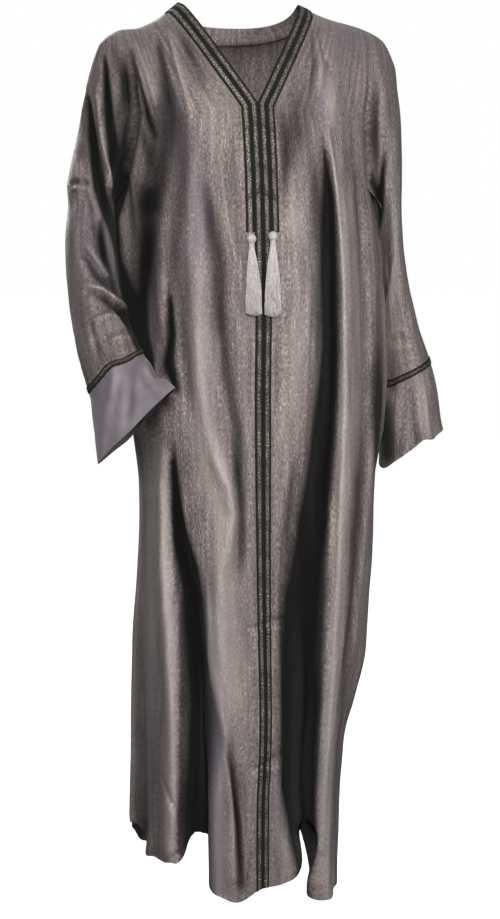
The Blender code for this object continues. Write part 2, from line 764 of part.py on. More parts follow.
def make_sleeve(side):
    """The sleeve's tube from the armhole seam to the cuff seam, and the angle of each column."""
    panel = Panel("sleeve_" + side)
    sign = SIDES[side]
    first = armhole_ring(side)
    centre = np.array([sign * ARM_CENTRE[side][0], ARM_CENTRE[side][1], ARMHOLE])
    spokes = first - centre
    turns = np.degrees(
        np.arctan2(-spokes[:, 1] / ARM_HALF_DEPTH, -sign * spokes[:, 0] / ARM_HALF_WIDTH)
    )
    rings = SLEEVES[side]
    index = []
    rows = [first - np.array([0.0, 0.0, SEAM_GAP])]
    for row in range(len(rings["height"])):
        rows.append(ring_points(rings, row, side, turns))
    step = np.linalg.norm(rows[-1] - rows[-2], axis=1)[:, None]
    rows.insert(-1, rows[-1] + (rows[-2] - rows[-1]) * BRAID_ROW / step)
    for points in rows:
        line = panel.add(list(points), [0.0] * len(points), [0.0] * len(points))
        index.append(np.append(line, line[0]))
    panel.join(index, flip=side == "left")
    panel.rings = np.array(index)
    return panel, turns


def make_cuff(side, turns):
    """The cuff's flared tube from its seam to its open hem."""
    panel = Panel("cuff_" + side)
    index = []
    for row in range(len(CUFFS[side]["height"])):
        points = ring_points(CUFFS[side], row, side, turns)
        line = panel.add(list(points), [0.0] * len(points), [0.0] * len(points))
        index.append(np.append(line, line[0]))
    panel.join(index, flip=side == "left")
    panel.rings = np.array(index)
    return panel


def shared_normals(panels):
    """The outward direction at each point, the same on both sides of a seam."""
    points = np.concatenate([np.array(panel.points) for panel in panels])
    _, merged = np.unique(np.round(points, 6), axis=0, return_inverse=True)
    merged = merged.reshape(-1)
    total = np.zeros((merged.max() + 1, 3))
    first = 0
    for panel in panels:
        quads = np.array(panel.quads) + first
        corners = points[quads]
        facing = np.cross(corners[:, 2] - corners[:, 0], corners[:, 3] - corners[:, 1])
        for corner in range(4):
            np.add.at(total, merged[quads[:, corner]], facing)
        first += len(panel.points)
    total /= np.linalg.norm(total, axis=1)[:, None]
    found = total[merged]
    first = 0
    for panel in panels:
        panel.normals = found[first : first + len(panel.points)]
        first += len(panel.points)


def apply_creases(panels):
    shared_normals(panels)
    for panel in panels:
        points = np.array(panel.points)
        rise, slide = crease_moves(np.array(panel.labels), points[:, 2])
        window = np.array(panel.windows)
        along = np.cross(panel.normals, (0.0, 0.0, -1.0))
        moved = points + panel.normals * (rise * window)[:, None]
        panel.points = list(moved + along * (slide * window)[:, None])
    shared_normals(panels)


def new_object(name, points, faces, collection, material):
    mesh = bpy.data.meshes.new(name)
    mesh.from_pydata([tuple(map(float, point)) for point in points], [], faces)
    work = bmesh.new()
    work.from_mesh(mesh)
    bmesh.ops.recalc_face_normals(work, faces=work.faces)
    work.to_mesh(mesh)
    work.free()
    mesh.shade_smooth()
    mesh.set_sharp_from_angle(angle=math.radians(40))
    obj = bpy.data.objects.new(name, mesh)
    collection.objects.link(obj)
    mesh.materials.append(material)
    return obj


def wall_object(panel, collection, material):
    """The panel's cloth as a wall: its outer face, the same face moved in, and the rim between."""
    outer = np.array(panel.points)
    inner = outer - panel.normals * WALL
    count = len(outer)
    faces = []
    edges = set()
    for a, b, c, d in (tuple(map(int, quad)) for quad in panel.quads):
        faces += [(a, b, c), (a, c, d)]
        faces += [(c + count, b + count, a + count), (d + count, c + count, a + count)]
        edges.update(((a, b), (b, c), (c, d), (d, a)))
    rank = outer[:, 2] - np.abs(outer[:, 0])
    for a, b in sorted((a, b) for a, b in edges if (b, a) not in edges):
        if rank[a] > rank[b]:
            faces += [(b, a, b + count), (a, a + count, b + count)]
        else:
            faces += [(b, a, a + count), (b, a + count, b + count)]
    points = np.concatenate([outer, inner])
    return new_object(panel.name, points, faces, collection, material)


def loft_faces(rows, corners, closed=False, first=0):
    """Faces round a row of sections, each quad split from its first section's first corner."""
    faces = []
    for row in range(rows if closed else rows - 1):
        after = (row + 1) % rows
        for k in range(corners):
            beside = (k + 1) % corners
            near = first + row * corners
            far = first + after * corners
            faces.append((near + k, near + beside, far + beside))
            faces.append((near + k, far + beside, far + k))
    if not closed:
        faces.append(tuple(first + k for k in reversed(range(corners))))
        faces.append(tuple(first + (rows - 1) * corners + k for k in range(corners)))
    return faces


def loft_object(name, sections, collection, material, closed=False):
    """A solid through sections with the same number of corners each, capped unless it closes."""
    sections = np.array(sections)
    faces = loft_faces(len(sections), len(sections[0]), closed)
    return new_object(name, sections.reshape(-1, 3), faces, collection, material)


def braid_section(points, normals, near, far, near_share, far_share):
    """Four corners of a braid row across two columns of a panel's points, lifted off the cloth."""
    corners = []
    for share in (near_share, far_share):
        place = points[near] * (1 - share) + points[far] * share
        out = normals[near] * (1 - share) + normals[far] * share
        out /= np.linalg.norm(out)
        corners.append((place + out * BRAID_LIFT, place + out * (BRAID_LIFT + BRAID_THICK)))
    (low_near, high_near), (low_far, high_far) = corners
    return [low_near, low_far, high_far, high_near]


def make_front_braid(panel, side, row, collection, material):
    """The inner (0) or outer (1) braid row of one front half."""
    points = np.array(panel.points)
    lines = list(panel.yoke[::-1]) + list(panel.skirt[1:])
    name = "braid_inner_" + side
    if row == 1:
        name = "braid_outer_" + side
        lines = lines[: len(YOKE_FRACTIONS) + OUTER_BRAID_END]
    gap = SEAM_GAP / BRAID_ROW
    sections = []
    for line in lines:
        near, far = line[row], line[row + 1]
        sections.append(
            braid_section(points, panel.normals, near, far, gap / 2, 1 - gap / 2)
        )
    return loft_object(name, sections, collection, material)


def make_back_braid(panel, row, collection, material):
    """The inner (0) or outer (1) braid row round the back of the neck."""
    points = np.array(panel.points)
    far = panel.neck[1 - row]
    near = panel.neck[2 - row]
    gap = SEAM_GAP / BRAID_ROW
    sections = [
        braid_section(points, panel.normals, a, b, gap / 2, 1 - gap / 2)
        for a, b in zip(near, far)
    ]
    name = ("braid_back_inner", "braid_back_outer")[row]
    return loft_object(name, sections, collection, material)


def make_cuff_braid(sleeve, side, collection, material):
    """One row of braid on the end of the sleeve, over the cuff's seam."""
    points = np.array(sleeve.points)
    upper = sleeve.rings[-2][:-1]
    last = sleeve.rings[-1][:-1]
    sections = []
    for near, far in zip(upper, last):
        sections.append(braid_section(points, sleeve.normals, near, far, 0.0, 1.0))
    return loft_object("cuff_braid_" + side, sections, collection, material, closed=True)


def level_ring(centre, radius, corners, start=0.0):
    """Corners round a centre, all at its height."""
    turns = start + 2 * math.pi * np.arange(corners) / corners
    ring = np.stack([np.cos(turns), np.sin(turns), np.zeros(corners)], axis=1)
    return np.asarray(centre) + radius * ring


def head_rings(centre):
    """The rings of a tassel's wound head: a ball, and the waist under it."""
    rings = []
    for step in range(1, HEAD_STEPS - 1):
        turn = math.pi * step / HEAD_STEPS
        level = centre + np.array([0.0, 0.0, HEAD_HEIGHT * math.cos(turn)])
        rings.append(level_ring(level, HEAD_RADIUS * math.sin(turn), HEAD_CORNERS))
    for drop, radius in zip(WAIST["drop"], WAIST["radius"]):
        level = centre - np.array([0.0, 0.0, WAIST_TOP + drop])
        rings.append(level_ring(level, radius, HEAD_CORNERS))
    return rings


def strand_rings(root_centre, end_depth, strand):
    """One strand from its root in the waist to its end, spread round the others by the golden angle."""
    reach = math.sqrt((strand + 0.5) / STRANDS)
    angle = strand * GOLDEN_ANGLE
    way = reach * np.array([math.cos(angle), math.sin(angle), 0.0])
    root = root_centre + STRANDS_AT_ROOT * way
    end = np.array([root_centre[0], end_depth, root_centre[2] - STRAND_LENGTH])
    end += way * (STRANDS_WIDE, STRANDS_DEEP, 0.0) + (0.0, 0.0, STRAND_SHORTER * reach)
    rings = []
    for share, spread, radius in zip(*STRAND_FORM.values()):
        place = root + (end - root) * np.array([spread, spread, share])
        rings.append(level_ring(place, radius, 3, angle))
    return rings


def make_tassel(panel, side, collection, material):
    """A tassel under the end of an outer braid row: its head, and the rings of its strands."""
    points = np.array(panel.points)
    lift = BRAID_LIFT + BRAID_THICK + TASSEL_CLEAR
    surface = points[panel.skirt[OUTER_BRAID_END][1]]
    x = SIDES[side] * TASSEL_ACROSS
    centre = np.array([x, surface[1] - lift - HEAD_RADIUS, surface[2] - TASSEL_CLEAR - HEAD_HEIGHT])
    head = loft_object("tassel_" + side, head_rings(centre), collection, material)
    foot = WAIST_TOP + WAIST["drop"][-1] - STRAND_SUNK
    root_centre = centre - np.array([0.0, 0.0, foot])
    ends_by = points[panel.skirt[OUTER_BRAID_END + 3][1]]
    end_depth = ends_by[1] - lift - STRANDS_DEEP - 2 * STRAND_FORM["radius"][-1]
    return head, [strand_rings(root_centre, end_depth, strand) for strand in range(STRANDS)]


def fuse_strands(head, strands, cutters, collection):
    """Joins the strands to the head with one Boolean and leaves one body."""
    points = []
    faces = []
    for rings in strands:
        faces += loft_faces(len(rings), len(rings[0]), first=len(points))
        points += [point for ring in rings for point in ring]
    helper = new_object(head.name + "_strands", points, faces, cutters, head.data.materials[0])
    helper.hide_render = True
    helper.display_type = "WIRE"
    union = head.modifiers.new("strands", "BOOLEAN")
    union.operation = "UNION"
    union.object = helper
    union.solver = "EXACT"


# Each material's name, base colour, roughness and metallic share.
FINISHES = (
    ("cloth", (0.19, 0.165, 0.165), 0.42, 0.35),
    ("cuff_cloth", (0.20, 0.18, 0.19), 0.45, 0.3),
    ("braid", (0.03, 0.028, 0.022), 0.5, 0.3),
    ("silk", (0.58, 0.52, 0.53), 0.5, 0.0),
)


def make_material(name, color, roughness, metallic):
    material = bpy.data.materials.new(name)
    material.use_nodes = True
    shader = material.node_tree.nodes["Principled BSDF"]
    shader.inputs["Base Color"].default_value = (*color, 1.0)
    shader.inputs["Roughness"].default_value = roughness
    shader.inputs["Metallic"].default_value = metallic
    return material


def make_collection(name):
    collection = bpy.data.collections.new(name)
    bpy.context.scene.collection.children.link(collection)
    return collection


def clear_scene():
    for obj in list(bpy.data.objects):
        bpy.data.objects.remove(obj, do_unlink=True)


def straighten_shoulder(panel, side):
    """Points of the front's shoulder between those it shares with the back face as they do."""
    line = panel.yoke[-1]
    places = np.array([panel.points[at] for at in line])
    shared = []
    for knot in shoulder_tops(side) + arm_tops(side):
        distance = np.linalg.norm(places - on_shoulder(side, [knot])[0], axis=1)
        shared.append(int(np.argmin(distance)))
    for start, end in zip(shared[:-1], shared[1:]):
        for column in range(start + 1, end):
            length = np.linalg.norm(places[end] - places[start])
            share = np.linalg.norm(places[column] - places[start]) / length
            first, last = panel.normals[line[start]], panel.normals[line[end]]
            panel.normals[line[column]] = first * (1 - share) + last * share


def seam_gaps(front, back):
    """Opens each seam between the panels by its gap, half from each side."""
    half = SEAM_GAP / 2
    for panel in front.values():
        panel.pull(panel.skirt[:, -1], panel.skirt[:, -2], half)
        panel.pull(panel.yoke[-1], panel.yoke[-2], half)
        panel.pull(panel.yoke[:-1, -1], panel.yoke[:-1, -2], half)
        below_v = [row for row in range(len(YOKE_FRACTIONS)) if YOKE_FRACTIONS[row] <= V_FRACTION]
        panel.pull(panel.yoke[below_v, 0], panel.yoke[below_v, 1], half)
        panel.pull(panel.skirt[1:, 0], panel.skirt[1:, 1], half)
    back.pull(back.skirt[:, 0], back.skirt[:, 1], half)
    back.pull(back.skirt[:, -1], back.skirt[:, -2], half)
    neck_first = ARM_STEPS + BACK_ANGLES.index(NECK_ANGLE)
    neck_last = len(back.yoke[-1]) - 1 - neck_first
    shoulder = list(range(neck_first + 1)) + list(range(neck_last, len(back.yoke[-1])))
    back.pull(back.yoke[-1, shoulder], back.yoke[-2, shoulder], half)
    back.pull(back.yoke[:-1, 0], back.yoke[:-1, 1], half)
    back.pull(back.yoke[:-1, -1], back.yoke[:-1, -2], half)
    for row in (1, 2):
        back.pull([back.neck[row, 0]], [back.neck[row, 1]], half)
        back.pull([back.neck[row, -1]], [back.neck[row, -2]], half)


def join_armhole(sleeve, front, back, side):
    """Gives the sleeve's first ring the same points and directions as the edges it is sewn to."""
    front_edge = front.yoke[0][front.torso :]
    back_row = back.yoke[0]
    back_edge = back_row[:ARM_STEPS] if side == "left" else back_row[-1 : -ARM_STEPS - 1 : -1]
    targets = [(front, at) for at in front_edge] + [(back, at) for at in back_edge[1:]]
    drop = np.array([0.0, 0.0, SEAM_GAP])
    for place, (panel, at) in enumerate(targets):
        sleeve.points[place] = panel.points[at] - drop
        sleeve.normals[place] = panel.normals[at]


def main():
    clear_scene()
    garment = make_collection("abaya")
    helpers = make_collection("helpers")
    cloth, cuff_cloth, braid, silk = (make_material(*finish) for finish in FINISHES)

    fronts = {side: make_front(side) for side in SIDES}
    back = make_back()
    sleeves = {}
    cuffs = {}
    for side in SIDES:
        sleeves[side], turns = make_sleeve(side)
        cuffs[side] = make_cuff(side, turns)
    apply_creases([fronts["right"], fronts["left"], back])
    for side in SIDES:
        shared_normals([sleeves[side], cuffs[side]])
        join_armhole(sleeves[side], fronts[side], back, side)
        straighten_shoulder(fronts[side], side)
        cuffs[side].pull(cuffs[side].rings[0][:-1], cuffs[side].rings[1][:-1], SEAM_GAP)
    seam_gaps(fronts, back)

    for side in SIDES:
        wall_object(fronts[side], garment, cloth)
        wall_object(sleeves[side], garment, cloth)
        wall_object(cuffs[side], garment, cuff_cloth)
        for row in (0, 1):
            make_front_braid(fronts[side], side, row, garment, braid)
        make_cuff_braid(sleeves[side], side, garment, braid)
        head, strands = make_tassel(fronts[side], side, garment, silk)
        fuse_strands(head, strands, helpers, garment)
    wall_object(back, garment, cloth)
    for row in (0, 1):
        make_back_braid(back, row, garment, braid)


if __name__ == "__main__":
    main()
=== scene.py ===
"""The abaya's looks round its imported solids: finer cloth with creases, braid, tassels, light and camera.

Metres, +Z up. The wearer faces -Y, so the wearer's right is at -X. A girth angle names each place
round the body: 0 is the centre front, +90 the wearer's left side seam, 180 the centre back.
"""

import math

import bpy
import numpy as np
from mathutils import Matrix, Vector


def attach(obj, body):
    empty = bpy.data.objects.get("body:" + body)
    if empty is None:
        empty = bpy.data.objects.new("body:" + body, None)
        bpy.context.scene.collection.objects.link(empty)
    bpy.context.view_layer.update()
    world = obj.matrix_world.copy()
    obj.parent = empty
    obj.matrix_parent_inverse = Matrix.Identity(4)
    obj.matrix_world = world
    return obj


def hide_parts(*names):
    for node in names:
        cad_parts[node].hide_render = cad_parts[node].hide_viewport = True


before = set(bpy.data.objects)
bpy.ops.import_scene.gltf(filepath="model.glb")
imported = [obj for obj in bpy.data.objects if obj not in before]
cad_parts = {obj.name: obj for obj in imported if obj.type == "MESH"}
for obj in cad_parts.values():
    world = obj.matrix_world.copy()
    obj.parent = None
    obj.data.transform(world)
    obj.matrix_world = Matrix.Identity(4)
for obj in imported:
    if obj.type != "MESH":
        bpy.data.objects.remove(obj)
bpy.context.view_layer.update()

BRAID_ROW = 0.0133
BRAID_THICK = 0.0015
BRAID_LIFT = 0.0003
# Which way the x of each side points.
SIDES = {"right": -1, "left": 1}

ARMHOLE = -0.245
HEM = -1.36
HEM_EASE_START = -0.9
SQUARENESS = 2.4
UNDERARM_ANGLE = 73.0

NECK_POINT = (0.097, 0.033)
V_POINT = (0.0, -0.127)
V_FRACTION = 0.42
BACK_NECK_DROP = 0.046
BACK_NECK_DEPTH = 0.060
BACK_EDGE_DROP = 0.034
BACK_EDGE_DEPTH = 0.054
# How square the curve round the back of the neck is in height, across and in depth.
BACK_NECK_POWERS = (2.2, 0.9, 0.75)


def table(columns, rows):
    """A table with named columns: the column's name gives its numbers, first row first."""
    return dict(zip(columns.split(), np.array(rows, float).T))


# How much of its depth at the armholes' level the chest keeps at each level up to the shoulder.
CHEST = table(
    "level share",
    (
        (0.00, 1.000), (0.14, 0.970), (0.28, 0.922), (0.42, 0.855), (0.54, 0.775), (0.66, 0.670),
        (0.77, 0.550), (0.86, 0.430), (0.93, 0.310), (0.98, 0.175), (1.00, 0.000),
    ),
)

# The hanging body below the armholes. The sizes are half-widths and half-depths from x = 0, y = 0.
BODY = table(
    "height right left front back",
    (
        (-0.245, 0.203, 0.212, 0.128, 0.118),
        (-0.320, 0.195, 0.225, 0.134, 0.119),
        (-0.440, 0.184, 0.233, 0.142, 0.120),
        (-0.600, 0.175, 0.232, 0.150, 0.121),
        (-0.734, 0.163, 0.226, 0.154, 0.125),
        (-0.895, 0.167, 0.221, 0.160, 0.130),
        (-0.990, 0.172, 0.210, 0.165, 0.134),
        (-1.089, 0.173, 0.192, 0.172, 0.138),
        (-1.153, 0.173, 0.175, 0.176, 0.141),
        (-1.420, 0.174, 0.160, 0.188, 0.150),
    ),
)

HEM_LINE = table(
    "angle height",
    (
        (-180, -1.365), (-135, -1.352), (-90, -1.300), (-68, -1.318), (-54, -1.330), (-46, -1.324),
        (-40, -1.300), (-34, -1.285), (-28, -1.345), (-20, -1.372), (-12, -1.382), (0, -1.364),
        (11, -1.350), (19, -1.315), (25, -1.385), (38, -1.396), (60, -1.388), (90, -1.385), (135, -1.372),
        (180, -1.365),
    ),
)

# The top of each shoulder from the neck point outwards, and the outer side of the upper arm below it.
SHOULDER = {
    "right": table(
        "across height",
        (
            (0.097, 0.0330), (0.108, 0.0240), (0.120, 0.0145), (0.145, -0.0010), (0.168, -0.0095),
            (0.190, -0.0115), (0.206, -0.0184), (0.224, -0.0340), (0.232, -0.0514),
        ),
    ),
    "left": table(
        "across height",
        (
            (0.097, 0.0330), (0.110, 0.0285), (0.122, 0.0220), (0.155, 0.0105), (0.187, 0.0030),
            (0.217, -0.0070), (0.240, -0.0205), (0.253, -0.0423),
        ),
    ),
}
OUTER_ARM = {
    "right": table(
        "height across",
        (
            (-0.0514, 0.2318), (-0.0654, 0.2367), (-0.1245, 0.2515), (-0.1649, 0.2582), (-0.2133, 0.2698),
            (-0.2450, 0.2765),
        ),
    ),
    "left": table(
        "height across",
        (
            (-0.0423, 0.2532), (-0.0646, 0.2625), (-0.0966, 0.2665), (-0.1384, 0.2725), (-0.1690, 0.2745),
            (-0.2450, 0.2745),
        ),
    ),
}
ARM_CENTRE = {"right": (0.2405, 0.0), "left": (0.2410, 0.004)}
ARM_HALF_WIDTH = 0.035
ARM_HALF_DEPTH = 0.066
ARM_START_ANGLE = 40.0
SHOULDER_BONE = {"right": 0.190, "left": 0.205}
# Along the sloping shoulder a braid row takes less of x than its width.
BRAID_ON_SHOULDER = 0.86 * BRAID_ROW
# The shared places between the braid and the shoulder's bone.
SHOULDER_SPLITS = (0.34, 0.66, 1.0)
# Width, as a share of the girth, and depth of the rounded valley over each underarm.
FRONT_VALLEY = (0.13, -0.034)
BACK_VALLEY = (0.07, 0.030)
UNDERARM_CLEAR = 0.0024
CLEAR_DEGREES = 4

# Each ring of a sleeve: its centre, its half-sizes front to back (deep) and side to side (wide),
# and how far the tube leans out of the vertical there, towards a heading that runs from -Y (0)
# round to the outside (90) or the inside (-90).
SLEEVE_COLUMNS = "height across forward deep wide lean heading"
SLEEVES = {
    "right": table(
        SLEEVE_COLUMNS,
        (
            (-0.285, 0.2400, 0.000, 0.066, 0.0360, 2, -60),
            (-0.330, 0.2415, -0.002, 0.065, 0.0395, 4, -60),
            (-0.380, 0.2400, 0.000, 0.063, 0.0425, 10, -60),
            (-0.425, 0.2385, 0.012, 0.060, 0.0445, 18, -60),
            (-0.468, 0.2350, 0.036, 0.056, 0.0465, 26, -60),
            (-0.508, 0.2290, 0.072, 0.049, 0.0490, 33, -62),
            (-0.546, 0.2215, 0.110, 0.040, 0.0520, 38, -65),
        ),
    ),
    "left": table(
        SLEEVE_COLUMNS,
        (
            (-0.285, 0.2495, -0.002, 0.066, 0.0265, 2, 90),
            (-0.340, 0.2575, -0.003, 0.067, 0.0255, 5, 90),
            (-0.390, 0.2640, -0.003, 0.066, 0.0270, 8, 90),
            (-0.440, 0.2700, -0.002, 0.065, 0.0300, 13, 90),
            (-0.490, 0.2775, 0.000, 0.063, 0.0360, 18, 90),
            (-0.530, 0.2840, 0.003, 0.061, 0.0415, 22, 90),
            (-0.560, 0.2880, 0.006, 0.059, 0.0445, 24, 90),
        ),
    ),
}
CUFFS = {
    "right": table(
        SLEEVE_COLUMNS,
        (
            (-0.546, 0.2215, 0.110, 0.040, 0.0520, 38, -65),
            (-0.566, 0.2160, 0.126, 0.040, 0.0600, 41, -65),
            (-0.592, 0.2090, 0.146, 0.038, 0.0710, 44, -65),
            (-0.621, 0.2010, 0.168, 0.035, 0.0830, 46, -65),
        ),
    ),
    "left": table(
        SLEEVE_COLUMNS,
        (
            (-0.560, 0.2880, 0.006, 0.059, 0.0445, 24, 90),
            (-0.590, 0.2890, 0.010, 0.061, 0.0490, 24, 90),
            (-0.630, 0.2905, 0.014, 0.064, 0.0560, 26, 90),
            (-0.680, 0.2925, 0.020, 0.068, 0.0620, 27, 90),
        ),
    ),
}

# The largest folds. Each row gives a height, the girth angle and half-width of the fold there,
# how far it stands out, or in where negative, and how much of that it slides along the girth.
CREASE_COLUMNS = "height angle width rise slide"
CREASES = tuple(
    table(CREASE_COLUMNS, rows)
    for rows in (
        # lobe of the skirt on the wearer's right and the deep valley beside it
        (
            (-0.66, -60, 7, 0.000, 0), (-0.80, -60, 8, 0.010, 0), (-1.09, -49, 8, 0.012, 0),
            (-1.42, -50, 7, 0.014, 0),
        ),
        (
            (-0.66, -64, 6, 0.000, 0), (-0.83, -49, 6, -0.014, 0), (-0.92, -37, 6, -0.024, 0),
            (-1.08, -29, 6, -0.040, 0), (-1.30, -33.5, 5, -0.085, 0), (-1.42, -33.5, 5, -0.100, 0),
        ),
        ((-0.64, -20, 6, 0.000, 0), (-0.88, -20, 6, 0.009, 0), (-1.42, -20, 6, 0.012, 0)),
        # the deep valley on the wearer's left of the placket and the tube of cloth beside it
        (
            (-0.70, 13, 5, 0.000, 0.0), (-0.90, 13, 5, -0.016, -0.3), (-1.05, 15, 5, -0.034, -0.5),
            (-1.30, 19, 4.5, -0.085, -0.6), (-1.42, 20, 4.5, -0.100, -0.6),
        ),
        ((-0.60, 32, 8, 0.000, 0), (-0.80, 31, 8, 0.010, 0), (-1.42, 39, 9, 0.016, 0)),
        # body front, left half of the wearer
        (
            (-0.18, 25, 6, 0.000, 0), (-0.27, 25, 6, -0.012, 0), (-0.50, 25, 6, -0.014, 0),
            (-0.70, 21, 6, -0.012, 0), (-0.85, 20, 6, 0.000, 0),
        ),
        (
            (-0.18, 33, 6, 0.000, 0), (-0.28, 33, 6, 0.009, 0), (-0.72, 33, 7, 0.009, 0),
            (-0.90, 33, 7, 0.000, 0),
        ),
        ((-0.18, 52, 6, 0.000, 0), (-0.30, 51, 6, -0.010, 0), (-0.80, 49, 6, 0.000, 0)),
        # body front, right half of the wearer
        ((-0.25, -57, 7, 0.000, 0), (-0.38, -59, 7, -0.009, 0), (-0.62, -53, 7, 0.000, 0)),
        ((-0.25, -27, 7, 0.000, 0), (-0.40, -27, 7, 0.009, 0), (-0.66, -27, 7, 0.000, 0)),
        # the folds that run from the shoulders down between arm and body
        ((-0.05, -80, 6, 0.000, 0), (-0.12, -77, 6, -0.012, 0), (-0.40, -70, 6, 0.000, 0)),
        ((-0.06, 78, 6, 0.000, 0), (-0.14, 76, 6, -0.008, 0), (-0.40, 72, 6, 0.000, 0)),
        # the sides and the back, finished like the front
        ((-0.55, 78, 8, 0.000, 0), (-0.95, 78, 8, -0.010, 0), (-1.42, 76, 8, -0.022, 0)),
        ((-0.55, -84, 8, 0.000, 0), (-0.95, -84, 8, -0.006, 0), (-1.42, -82, 8, -0.014, 0)),
        ((-0.10, 180, 10, 0.000, 0), (-0.50, 180, 10, -0.006, 0), (-1.42, 181, 9, -0.024, 0)),
        ((-0.30, 158, 10, 0.000, 0), (-0.80, 160, 9, 0.010, 0), (-1.42, 162, 9, 0.020, 0)),
        ((-0.30, 203, 10, 0.000, 0), (-0.80, 201, 9, 0.010, 0), (-1.42, 199, 9, 0.020, 0)),
        ((-0.40, 137, 9, 0.000, 0), (-0.80, 139, 8, -0.010, 0), (-1.42, 142, 9, -0.034, 0)),
        ((-0.40, 224, 9, 0.000, 0), (-0.80, 221, 8, -0.010, 0), (-1.42, 219, 9, -0.032, 0)),
        ((-0.45, 115, 9, 0.000, 0), (-0.90, 116, 9, 0.010, 0), (-1.42, 119, 9, 0.016, 0)),
        ((-0.45, 244, 9, 0.000, 0), (-0.90, 243, 9, 0.009, 0), (-1.42, 241, 9, 0.015, 0)),
    )
)

# The back's own columns by girth angle, from beside the underarm to the centre.
BACK_ANGLES = (107, 115, 123, 131, 139, 147, 155, 163, 171.5, 180)
ARM_STEPS = 6
ARM_ANGLE_STEP = 8
# Of the front columns, those whose tops are also tops of back columns 115 and 123.
SHARED_TOPS = (24, 39)
# The first back column whose top lies on the neck braid, not on the shoulder.
NECK_ANGLE = 131
YOKE_FRACTIONS = (0.0, 0.14, 0.28, 0.42, 0.54, 0.66, 0.77, 0.86, 0.93, 0.98, 1.0)
# Where the folds fade: up to the shoulder, out along the arm in front, and along both arms behind.
SHOULDER_FADE = 0.3
FRONT_ARM_FADE = 0.2
BACK_ARM_FADE = 0.12
BRAID_FADE = 0.045
# Past each underarm, as shares of the girth: how soon the arm's folds take over from the body's.
ARM_START = 0.6
ARM_TURN = 0.10
FRONT_BODY_TURN = 0.15
BACK_ARM_TURN = 0.07
# Below the armholes the arm's folds end at this height, over this much of it.
ARM_FOLDS_END = -0.32
ARM_FOLDS_FADE = 0.075
# The share of the way up to the shoulder at which the valley over an underarm is whole.
VALLEY_RISE = 0.7

TASSEL_ACROSS = 0.017
TASSEL_CLEAR = 0.0005
HEAD_RADIUS = 0.0068
HEAD_HEIGHT = 0.0076
# The waist under the head, measured down from where the ball ends.
WAIST = table("drop radius", ((0.0, 0.0046), (0.0035, 0.0042), (0.0075, 0.0046)))
WAIST_TOP = 0.95 * HEAD_RADIUS
STRAND_LENGTH = 0.116
STRAND_SHORTER = 0.012
STRAND_SUNK = 0.002
STRANDS_AT_ROOT = 0.0036
STRANDS_WIDE = 0.0145
STRANDS_DEEP = 0.0055
GOLDEN_ANGLE = math.pi * (3 - math.sqrt(5))

# A hem's turned-up layer: how far inside, and how many rows.
HEM_GAP = 0.0008
HEM_ROWS = 5
ARMHOLE_BLEND = 14
SHOULDER_BLEND = 10
# The outer braid rows end at this skirt row.
OUTER_BRAID_ROWS = 25
# A tassel's finer making: threads round its head, and its strands.
HEAD_TURNS = 96
HEAD_THREADS = 26
HEAD_ROWS = 26
WAIST_ROWS = 30
WRAP_PITCH = 0.0013
SPREAD = table("share spread", ((0.0, 0.0), (0.10, 0.16), (0.30, 0.50), (0.60, 0.82), (1.0, 1.0)))
FINE_STRANDS = 150
STRAND_ROWS = 18
STRAND_CORNERS = 5
STRAND_RADIUS = 0.00052
STRAND_SWAY = 0.0009
# The tassels hang off the middle with the placket, one a little higher, and end a little higher.
TASSEL_DRIFT = 0.0026
TASSEL_UNEVEN = 0.0020
STRAND_LIFT = 0.0075
STRAND_UNEVEN = 0.0030
STRAND_LEAN = 0.0018
FINE_WIDTH = 0.93
# How far down the placket, in skirt rows, a tassel ends.
TASSEL_ROWS = 34
# Where the ball's rows start and how far they go, in half turns, and how deep its threads and wraps are.
HEAD_START = 0.02
HEAD_SWEEP = 0.90
HEAD_RIPPLE = 0.055
WAIST_RIPPLE = 0.01
WRAP_DEPTH = 0.00022
# How much shorter the outer strands are, how unevenly they are cut, their waves, and how they taper.
CUT_ROUND = 0.35
CUT_UNEVEN = 0.25
WAVES = (2.0, 4.5)
END_STILL = 0.4
SIDE_SWAY = 0.6
END_TAPER = 0.35
BRAID_STEP = 0.0012
# Places across a braid row, as shares of it, one half and then the same mirrored.
HALF_SHARES = (0.0, 0.04, 0.10, 0.16, 0.21, 0.28, 0.36, 0.43)
BRAID_SHARES = np.array((*HALF_SHARES, 0.50, *(round(1 - share, 2) for share in HALF_SHARES[::-1])))
# The plait in the braid's middle: its pitch, lean, rise, depth, half-width and soft edge.
PLAIT_PITCH = 0.0052
PLAIT_LEAN = 1.5
PLAIT_RISE = 0.00095
PLAIT_DEPTH = 0.00035
PLAIT_HALF = 0.36
PLAIT_SOFT = 0.08
# The cord along each edge: its pitch, lean, rise, twist, place off the middle and width.
CORD_PITCH = 0.0024
CORD_LEAN = 9
CORD_RISE = 0.0013
CORD_TWIST = 0.00022
CORD_PLACE = 0.40
CORD_WIDTH = 0.065
# The ground between them, and the border that dips into the cloth.
BRAID_GROUND = 0.00025
BRAID_BORDER = -0.0003
# The half-width of the braid's light middle.
LIGHT_HALF = 0.25
CUFF_BRIGHTNESS = 0.5
BACK_BRIGHTNESS = 0.6
# How light the worked middle of the inner and the outer braid row is on either side.
BRIGHTNESS = {"right": (0.75, 1.0), "left": (0.75, 0.75)}
CUFF_BRAID_SHOWN = 0.78
CUFF_BRAID_ROWS = 5
FLOOR = -1.46
FLOOR_HALF = 30.0
FLOOR_GREY = (0.40, 0.40, 0.40)
FLOOR_GLOW = 0.97
ROOM_LIGHT = 0.13
